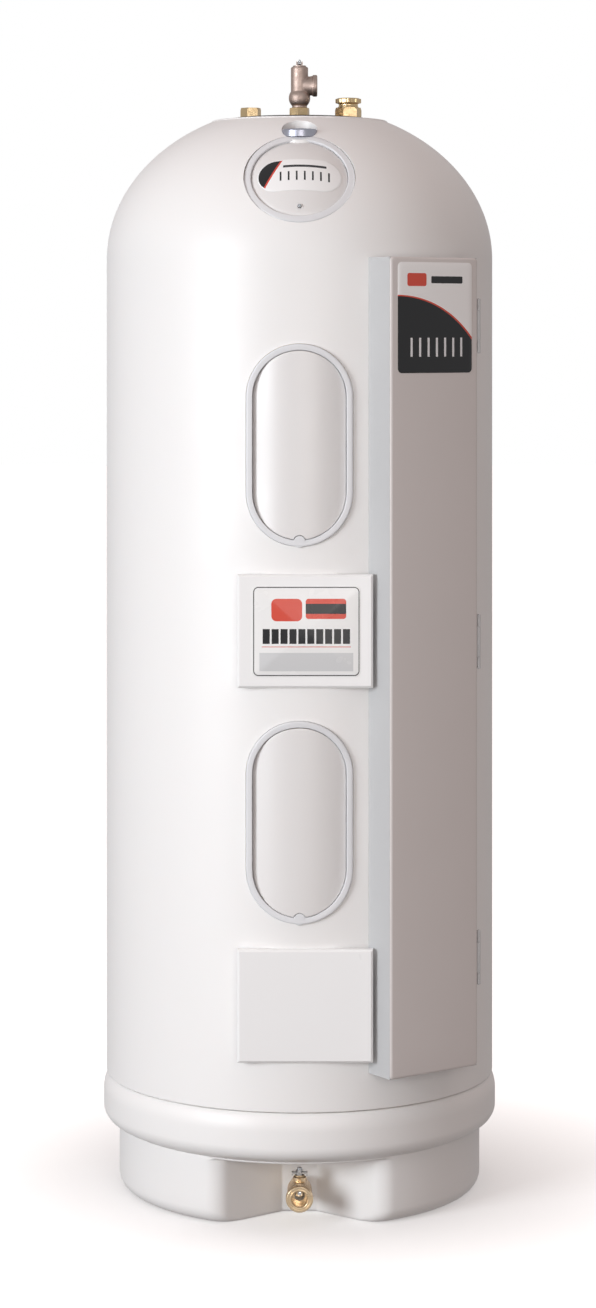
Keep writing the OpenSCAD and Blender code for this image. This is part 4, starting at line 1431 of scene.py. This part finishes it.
@dataclass
class Junction:
    """Round splice cover on the dome, with its ring, badge, screw and conduit hub."""

    centre: tuple[float, float, float] = (0.0, -281.0, 1783.0)
    tilt: float = 36.5
    ring_outer: float = 95.0
    ring_inner: float = 83.0
    cover: float = 82.3
    rise: float = 19.0
    badge: Point = (144.0, 66.0)
    badge_drop: float = -4.0
    screw_drop: float = -66.0
    jacket: float = 345.0
    jacket_dome: float = 275.0
    jacket_spring: float = 1651.9

    def place(self) -> Matrix:
        """Placement of the cover's own frame.

        Returns:
            Matrix in millimetres.
        """
        return Matrix.Translation(self.centre) @ Matrix.Rotation(math.radians(90 - self.tilt), 4, "X")

    def place_metres(self) -> Matrix:
        """The same placement for a mesh that is already in metres.

        Returns:
            Matrix in metres.
        """
        return Matrix.Translation(Vector(self.centre) * MM) @ Matrix.Rotation(math.radians(90 - self.tilt), 4, "X")

    def dome(self, r: float) -> float:
        """Height of the cover over its edge.

        Args:
            r: Distance from the cover's axis.

        Returns:
            The height in millimetres.
        """
        ball = (self.cover**2 + self.rise**2) / (2 * self.rise)
        return self.rise - ball + math.sqrt(ball * ball - r * r)

    def build(self) -> None:
        """Makes ring, cover, badge, screw and hub."""
        place = self.place()
        hub = (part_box("conduit_hub")[0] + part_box("conduit_hub")[1]) / 2 / MM
        neck = [bar(25.7, -80, 100, Axis.UP, hub, 96) for _ in range(2)]
        collar = [bar(31.1, 1857.4 - hub.z, 100, Axis.UP, hub, 96) for _ in range(2)]
        section = fillet(
            [(self.ring_inner, -12), (self.ring_outer, -12), (self.ring_outer, 2.4), (self.ring_inner, 4.5)],
            [0, 0, 2.6, 1.6],
            5,
        )
        ring = revolve("junction_ring", section, 192, place)
        carve(ring, [neck[0], collar[0]])
        wear(shade(ring, 35), TRIM, Body.HEATER, ["junction_frame"])
        top = [(self.cover * k / 24, self.dome(self.cover * k / 24)) for k in range(23)]
        edge = [(self.cover - 0.9, self.dome(self.cover - 0.9) - 0.2)]
        edge += [(self.cover, -1.2), (self.cover, -8), (self.cover - 3, -8)]
        under = [((self.cover - 3) * k / 12, self.dome((self.cover - 3) * k / 12) - 3) for k in range(12, -1, -1)]
        cover = revolve("junction_dome", top + edge + under, 192, place)
        hole = bar(3.2, -30, 60, Axis.UP, Vector())
        hole.data.transform(self.place_metres() @ Matrix.Translation((0, self.screw_drop * MM, 0)))
        carve(cover, [neck[1], collar[1], hole])
        wear(shade(cover, 35), COVER_PAINTED_SHADE, Body.JUNCTION_LID, ["junction_cover"])
        self.pocket(hub)
        self.badge_piece()
        self.screw_piece(place)
        wear(refined("conduit_hub_cast", "conduit_hub", 1.1, 3), DIE_CAST, Body.HEATER, ["conduit_hub"])

    def pocket(self, hub: Vector) -> None:
        """Makes the moulded wall behind the hub, from the dome down past the collar.

        Args:
            hub: Middle of the hub in millimetres.
        """
        turns = [2 * math.pi * k / 96 for k in range(96)]
        rings = []
        for radius, low in ((30.9, True), (30.9, False), (31.7, False), (31.7, True)):
            ring = []
            for t in turns:
                x, y = radius * math.cos(t), hub.y + radius * math.sin(t)
                away = (x * x + y * y) / self.jacket**2
                dome = self.jacket_spring + self.jacket_dome * math.sqrt(1 - away)
                ring.append(Vector((x, y, 1842.0 if low else dome - 0.3)))
            rings.append(ring)
        wear(shade(skin("hub_pocket", rings, closed=True)), JACKET, Body.HEATER)

    def badge_piece(self) -> None:
        """Makes the badge as a thin film on the dome."""
        wide, tall = self.badge
        outline = [((z, -x), n) for (x, z), n in stadium(tall, wide, 28, 10)]
        straight = (wide - tall) / 2
        rings = []
        section = [(k / 10, 0.7) for k in range(10)] + [(0.995, 0.68), (1.0, 0.5), (1.0, 0.12)]
        section += [(1 - k / 5, 0.12) for k in range(1, 6)]
        for share, lift in section:
            ring = []
            for (x, y), _ in outline:
                core = max(-straight, min(straight, x))
                px, py = core + (x - core) * share, y * share + self.badge_drop
                ring.append(Vector((px, py, self.dome(math.hypot(px, py)) + lift)))
            rings.append(ring)
        piece = skin("junction_label", rings)
        lay_uv(piece, lambda spot: (spot.x / MM, spot.y / MM - self.badge_drop))
        piece.data.transform(self.place_metres())
        wear(shade(piece, 40), BADGE_LABEL, Body.JUNCTION_LID, ["junction_badge"])

    def screw_piece(self, place: Matrix) -> None:
        """Makes the slotted cover screw.

        Args:
            place: Placement of the cover's frame.
        """
        outline = [(0, -16), (1.9, -16), (1.9, 8.4), (3.6, 8.4), (3.2, 10.2), (0, 10.4)]
        profile = fillet(outline, [0, 0.3, 0, 0.2, 0.7, 0], 4)
        spot = place @ Matrix.Translation((0, self.screw_drop, 0))
        piece = revolve("junction_cover_screw", profile, 32, spot)
        carve(piece, [block("cutter", Vector((-5, -0.5, 9.6)), Vector((5, 0.5, 12)), spot)])
        wear(shade(piece, 35), STEEL, Body.JUNCTION_LID, ["junction_screw"])


def lay_uv(piece: bpy.types.Object, where: Callable[[Vector], Point]) -> None:
    """Gives a piece the label's UV map.

    Args:
        piece: The object.
        where: Label position, in millimetres, of a point in metres.
    """
    layer = piece.data.uv_layers.new(name="label")
    for loop in piece.data.loops:
        layer.data[loop.index].uv = where(piece.data.vertices[loop.vertex_index].co)


def rounded_rect(width: float, height: float, radius: float, steps: int = 8) -> list[Point]:
    """Outline of a rectangle with round corners.

    Args:
        width: Full width.
        height: Full height.
        radius: Corner radius.
        steps: Segments per corner.

    Returns:
        The outline.
    """
    w, h = width / 2, height / 2
    return fillet([(-w, -h), (w, -h), (w, h), (-w, h)], [radius] * 4, steps)


def dense(outline: Sequence[Point], step: float = 6.0) -> list[Point]:
    """Adds points along the long edges of a closed outline.

    Args:
        outline: The outline.
        step: Longest edge that stays, in millimetres.

    Returns:
        The denser outline.
    """
    out: list[Point] = []
    for a, b in zip(outline, [*outline[1:], outline[0]]):
        count = max(1, math.ceil(math.dist(a, b) / step))
        out += [(a[0] + (b[0] - a[0]) * k / count, a[1] + (b[1] - a[1]) * k / count) for k in range(count)]
    return out


def slab(name: str, size: Point, radius: float, stations: Sequence[Point], place: Matrix) -> bpy.types.Object:
    """A rounded rectangular panel, drawn in x and z with its face towards -y.

    Args:
        name: Name of the piece.
        size: Width and height.
        radius: Corner radius of the outline.
        stations: Inset and y of each ring from back to front.
        place: Placement, in millimetres.

    Returns:
        The object.
    """
    rings = []
    for inset, y in stations:
        outline = rounded_rect(size[0] - 2 * inset, size[1] - 2 * inset, max(0.2, radius - inset))
        rings.append([place @ Vector((x, y, z)) for x, z in outline])
    ends = [[place @ Vector((0, y, 0))] * len(rings[0]) for y in (stations[0][1], stations[-1][1])]
    return skin(name, [ends[0], *rings, ends[1]])


@dataclass
class ControlBox:
    """Surface box at the right: body, door with crowned face, hinges, label and electrics."""

    angle: float = 35.4
    width: float = 186.0
    front: float = 398.0
    door_depth: float = 6.0
    edge: float = 5.0
    sheet: float = 2.0
    crown: float = 2.6
    label: Point = (158.0, 187.0)
    label_x: float = 0.0
    label_z: float = 1546.0
    knuckle: float = 3.2
    back: float = 349.0
    wires: int = 4
    clip_heights: tuple[float, ...] = (740.0, 940.0, 1100.0, 1290.0, 1480.0)
    low: float = field(init=False, default=0.0)
    high: float = field(init=False, default=0.0)
    turn: Matrix = field(init=False, default_factory=Matrix)

    def build(self) -> None:
        """Makes the box and what is in it."""
        low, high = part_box("box_door")
        self.low, self.high = low.z / MM, high.z / MM
        self.turn = Matrix.Rotation(math.radians(self.angle), 4, "Z")
        wear(refined("box_body", "control_box", 1.0, 2), BOX_GREY, Body.HEATER, ["control_box"])
        self.door()
        self.film()
        self.devices()
        self.loom()

    def door(self) -> None:
        """Makes the door as a pan of sheet steel with rounded edges and hinge barrels."""
        middle = (self.low + self.high) / 2
        back = self.front - self.door_depth
        place = self.turn @ Matrix.Translation((0, 0, middle))
        piece = self.pan((self.width, self.high - self.low), place)
        wear(shade(piece, 45), DOOR_WHITE, Body.DOOR, ["box_door"])
        rings = []
        for inset, y in ((5.5, -back - 0.1), (11.0, -back - 0.1), (11.0, -back - 1.3), (5.5, -back - 1.3)):
            outline = rounded_rect(self.width - 2 * inset, self.high - self.low - 2 * inset, 2.0)
            rings.append([place @ Vector((x, y, z)) for x, z in outline])
        seal = skin("door_seal", rings, closed=True)
        wear(shade(seal), RUBBER, Body.DOOR, ["door_gasket"])
        hinge = Vector((self.width / 2 + 4.5, -(back - 0.25), 0))
        for number, height in enumerate((self.low + 150, middle, self.high - 150)):
            barrel = fillet([(1.6, 8), (self.knuckle, 8), (self.knuckle, 60), (1.6, 60)], [0, 0.6, 0.6, 0], 3)
            spot = self.turn @ Matrix.Translation((hinge.x, hinge.y, height))
            made = revolve(f"door_barrel_{number}", barrel, 32, spot)
            wear(shade(made), BOX_GREY, Body.DOOR)
            near = Vector((self.width / 2 - 3, hinge.y - 2.2, height + 8))
            far = Vector((hinge.x - 2.4, hinge.y - 0.5, height + 60))
            leaf = block(f"door_leaf_{number}", near, far, self.turn)
            wear(leaf, BOX_GREY, Body.DOOR)
        wear(refined("hinge_set", "door_hinges", 0.35, 1), BOX_GREY, Body.HEATER, ["door_hinges"])
        LOG.info("door: crown %.1f mm", self.crown)

    def face(self, x: float) -> float:
        """Depth of the door's face.

        Args:
            x: Sideways position.

        Returns:
            Distance in front of the box's axis in millimetres.
        """
        flat = self.width / 2 - self.edge
        return self.front - self.crown * min(1.0, (x / flat) ** 2)

    def pan(self, size: Point, place: Matrix) -> bpy.types.Object:
        """Makes the door's pan, whose face bows outwards by the crown.

        Args:
            size: Width and height.
            place: Placement, in millimetres.

        Returns:
            The piece.
        """
        back = self.front - self.door_depth
        rings = []
        for share in [math.radians(90 * k / 7) for k in range(8)]:
            inset = self.edge * (1 - math.cos(share))
            outline = dense(rounded_rect(size[0], size[1], self.edge + 1, 6), 12.0)
            ring = []
            for x, z in outline:
                px, pz = x * (1 - 2 * inset / size[0]), z * (1 - 2 * inset / size[1])
                ring.append(place @ Vector((px, -back - (self.face(px) - back) * math.sin(share), pz)))
            rings.append(ring)
        full = (1 - 2 * self.edge / size[0], 1 - 2 * self.edge / size[1])
        for k in range(1, 17):
            share = 1 - k / 16
            ring = [(x * full[0] * share, z * full[1] * share) for x, z in outline]
            rings.append([place @ Vector((x, -self.face(x), z)) for x, z in ring])
        inner = []
        inside = -self.front + self.crown + self.sheet
        for shrink, y in ((0.0, inside), (1.0, inside), (1.0, -back)):
            flange = [(x * (1 - 8 / size[0]) * shrink, z * (1 - 8 / size[1]) * shrink) for x, z in outline]
            inner.append([place @ Vector((x, y, z)) for x, z in flange])
        return skin("door_pan", inner + rings)

    def film(self) -> None:
        """Makes the door's label, laid over the crowned face."""
        outline = dense(rounded_rect(*self.label, 8.0, 8))
        rings = []
        section = [(share, 0.5) for share in (0.0, 0.25, 0.5, 0.75, 0.9, 0.997)]
        section += [(1.0, 0.4), (1.0, 0.06), (0.5, 0.06), (0.0, 0.06)]
        for share, lift in section:
            ring = []
            for x, z in outline:
                px = x * share + self.label_x
                ring.append(Vector((px, -self.face(px) - lift, z * share + self.label_z)))
            rings.append(ring)
        piece = skin("door_film", rings)
        lay_uv(piece, lambda spot: (spot.x / MM - self.label_x, spot.z / MM - self.label_z))
        piece.data.transform(self.turn)
        wear(shade(piece, 40), DOOR_LABEL, Body.DOOR, ["door_label"])

    def devices(self) -> None:
        """Makes the electrics with moulded edges and their screws."""
        parts = (
            ("contactor_pair", "contactors", 0.8, PHENOLIC, "device_black"),
            ("terminal_strip", "terminal_block", 0.6, PHENOLIC, "device_black"),
            ("fuse_carrier", "fuse_block", 0.7, PHENOLIC, "device_black"),
            ("ground_clamp", "ground_lug", 0.4, BRASS, "brass"),
            ("mounting_panel", "component_panel", 0.4, STEEL, "steel"),
        )
        for name, node, width, finish, slot in parts:
            wear(refined(name, node, width, 2), finish, Body.HEATER, [node])
        head = fillet([(0, 0), (2.8, 0), (2.8, 1.4), (0, 2.0)], [0, 0, 0.8, 0], 4)
        screw = revolve("screw_pattern", head, 20)
        back = -(self.back + 2.6)
        spots = [Vector((-27 + x, back - 32.6, z + h)) for z in (1180, 800) for x in (11, 27, 43) for h in (6, 80)]
        spots += [Vector((-60 + 21 + i * 39, back - 22.1, 1442)) for i in range(3)]
        points = polyline("device_screws", [[self.turn @ spot] for spot in spots])
        tilt = Vector((math.radians(90), 0.0, math.radians(self.angle)))
        run_tree(points, scatter_tree(), {"Item": screw, "Tilt": tilt, "Turn": 3.0, "Seed": 7, "Finish": STEEL.build()})
        wear(points, STEEL, Body.HEATER)
        bpy.data.objects.remove(screw)

    def loom(self) -> None:
        """Makes the wires down the box, the cables to the wells and the clips that hold them."""
        drop = -(self.back + 12)
        paths = []
        for i in range(self.wires):
            x = -82 + 4.5 * i
            corners = [
                Vector((x + 0.5 * math.sin(1.7 * k + i), drop + 0.5 * math.cos(2.3 * k + 2 * i), 522 + 984 * k / 12))
                for k in range(13)
            ]
            paths.append([self.turn @ p for p in smooth_path(corners, 8)])
        wires = polyline("loom_wires", paths)
        run_tree(wires, sweep_tree(), {"Radius": 1.9 * MM, "Sides": 12, "Finish": WIRE.build()})
        wear(wires, WIRE, Body.HEATER, ["box_wiring"])
        cables = []
        for z in (695.0, 1331.0):
            ends = [self.turn @ Vector((0, -(self.back + 13), z)), self.turn @ Vector((0, -305, z))]
            aim = math.radians(self.angle + 1.5)
            side = Vector((303 * math.sin(aim), -303 * math.cos(aim), z))
            cables.append([ends[0], ends[1]])
            cables.append([side, Vector((79, -300, z))])
        runs = polyline("well_cables", cables)
        run_tree(runs, sweep_tree(), {"Radius": 6.2 * MM, "Sides": 20, "Finish": WIRE.build()})
        wear(runs, WIRE, Body.HEATER)
        clip = block("clip_pattern", Vector((-10, -0.6, 0)), Vector((10, 0.6, 5)))
        spots = polyline("loom_clips", [[self.turn @ Vector((-75, drop - 2.8, z))] for z in self.clip_heights])
        tilt = Vector((0.0, 0.0, math.radians(self.angle)))
        run_tree(spots, scatter_tree(), {"Item": clip, "Tilt": tilt, "Turn": 0.0, "Seed": 1, "Finish": STEEL.build()})
        wear(spots, STEEL, Body.HEATER)
        bpy.data.objects.remove(clip)


@dataclass
class FrontPlates:
    """Two flat enamelled plates on the jacket, one with a rating label."""

    width: float = 229.0
    height: float = 191.0
    x: float = 9.5
    front: float = 355.0
    bevel: float = 4.0
    label: Point = (183.0, 154.0)

    def build(self) -> None:
        """Makes both plates and the label."""
        for name, node in (("rating_panel", "rating_plate"), ("blank_panel", "blank_plate")):
            low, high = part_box(node)
            middle = (low.z + high.z) / 2 / MM
            stations = [(0.0, -341.0), (0.0, -self.front + self.bevel + 0.6)]
            stations += [(0.2, -self.front + self.bevel), (self.bevel - 0.4, -self.front + 0.3)]
            stations.append((self.bevel + 0.4, -self.front))
            place = Matrix.Translation((self.x, 0, middle))
            piece = slab(name, (self.width, self.height), 1.2, stations, place)
            carve(piece, [bar(345.4, middle - 200, middle + 200, Axis.UP, Vector(), 288)])
            wear(weigh(shade(piece, 20)), PLATE, Body.HEATER, [node])
        low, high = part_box("rating_label")
        middle = (low.z + high.z) / 2 / MM
        face = -self.front
        outline = rounded_rect(*self.label, 9.0, 8)
        centre = Vector((self.x + 2, 0, middle))
        rings = []
        section = [(0.0, 0.45), (0.997, 0.45), (1.0, 0.35), (1.0, 0.05), (0.0, 0.05)]
        for share, y in [(share, face - lift) for share, lift in section]:
            rings.append([centre + Vector((x * share, y, z * share)) for x, z in outline])
        piece = skin("rating_film", rings)
        lay_uv(piece, lambda spot: (spot.x / MM - centre.x, spot.z / MM - centre.z))
        wear(shade(piece, 30), RATING_LABEL, Body.HEATER, ["rating_label"])


@dataclass
class Fittings:
    """Brass and bronze on the top, and the drain valve in the base."""

    cast_voxel: float = 0.75

    def build(self) -> None:
        """Makes the fittings with softened edges."""
        parts = (
            ("cold_nipple", "cold_inlet", 0.6, BRASS, "brass"),
            ("hot_nipple", "hot_outlet", 0.6, BRASS, "brass"),
            ("relief_nipple", "relief_spud", 0.6, BRASS, "brass"),
            ("relief_cap", "relief_bonnet", 0.4, BRONZE, "bronze"),
            ("relief_test_lever", "relief_lever", 0.3, STEEL, "steel"),
            ("relief_pin", "relief_lever_pin", 0.25, STEEL, "steel"),
            ("relief_spindle", "relief_stem", 0.25, STEEL, "steel"),
            ("drain_body", "drain_valve_body", 0.5, BRASS_FRONT_PAINTED_LIGHT, "brass"),
            ("drain_end", "drain_valve_end", 0.5, BRASS_FRONT_PAINTED_LIGHT, "brass"),
            ("drain_lever", "drain_handle", 0.5, STEEL, "steel"),
            ("drain_nut", "drain_gland_nut", 0.3, STEEL, "steel"),
        )
        for name, node, width, finish, slot in parts:
            body = body_of(frame["nodes"][node])[0]
            wear(refined(name, node, width, 2), finish, body, [node])
        wear(cast("relief_casting", "relief_body", self.cast_voxel, 4), BRONZE, Body.HEATER, ["relief_body"])
        wear(cast("outlet_cap", "outlet_union", 0.6, 3), BRASS, Body.HEATER, ["outlet_union"])


@dataclass
class InnerParts:
    """Everything that stays as CAD geometry, with its procedural finish."""

    special: dict[str, Finish] = field(
        default_factory=lambda: {"heating_elements": SHEATH, "supply_conduit": DIE_CAST, "junction_cup": DIE_CAST}
    )
    moulded: tuple[tuple[str, str, float, Finish, str], ...] = (
        ("thermostat_pair", "thermostats", 0.7, PHENOLIC, "device_black"),
        ("upper_temperature_dial", "upper_dial", 0.5, DIAL, "dial_white"),
        ("lower_temperature_dial", "lower_dial", 0.5, DIAL, "dial_white"),
        ("limit_button", "reset_button", 0.5, RED, "reset_red"),
        ("upper_insulation", "upper_foam_plug", 1.5, FOAM, "foam"),
        ("lower_insulation", "lower_foam_plug", 1.5, FOAM, "foam"),
    )

    def build(self) -> None:
        """Rounds the moulded parts and paints every CAD node."""
        for name, node, width, finish, slot in self.moulded:
            body = body_of(frame["nodes"][node])[0]
            wear(refined(name, node, width, 2), finish, body, [node])
        slots = {part["node"]: part["material_slot"] for part in frame["record"]["subparts"]}
        for node, piece in frame["nodes"].items():
            finish = self.special.get(node, CAD_FINISHES[slots[node]])
            piece.data.materials.clear()
            piece.data.materials.append(finish.build())
        LOG.info("CAD nodes painted: %d", len(slots))


def main() -> None:
    """Builds the sub-assemblies in order."""
    logging.basicConfig(level=logging.INFO, format="%(name)s %(message)s")
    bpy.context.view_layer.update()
    Jacket().build()
    Base().build()
    AccessOpening("upper", Body.UPPER_LID).build()
    AccessOpening("lower", Body.LOWER_LID).build()
    Junction().build()
    ControlBox().build()
    FrontPlates().build()
    Fittings().build()
    InnerParts().build()
    Stage().build()
    Camera().build()


if __name__ == "__main__":
    main()
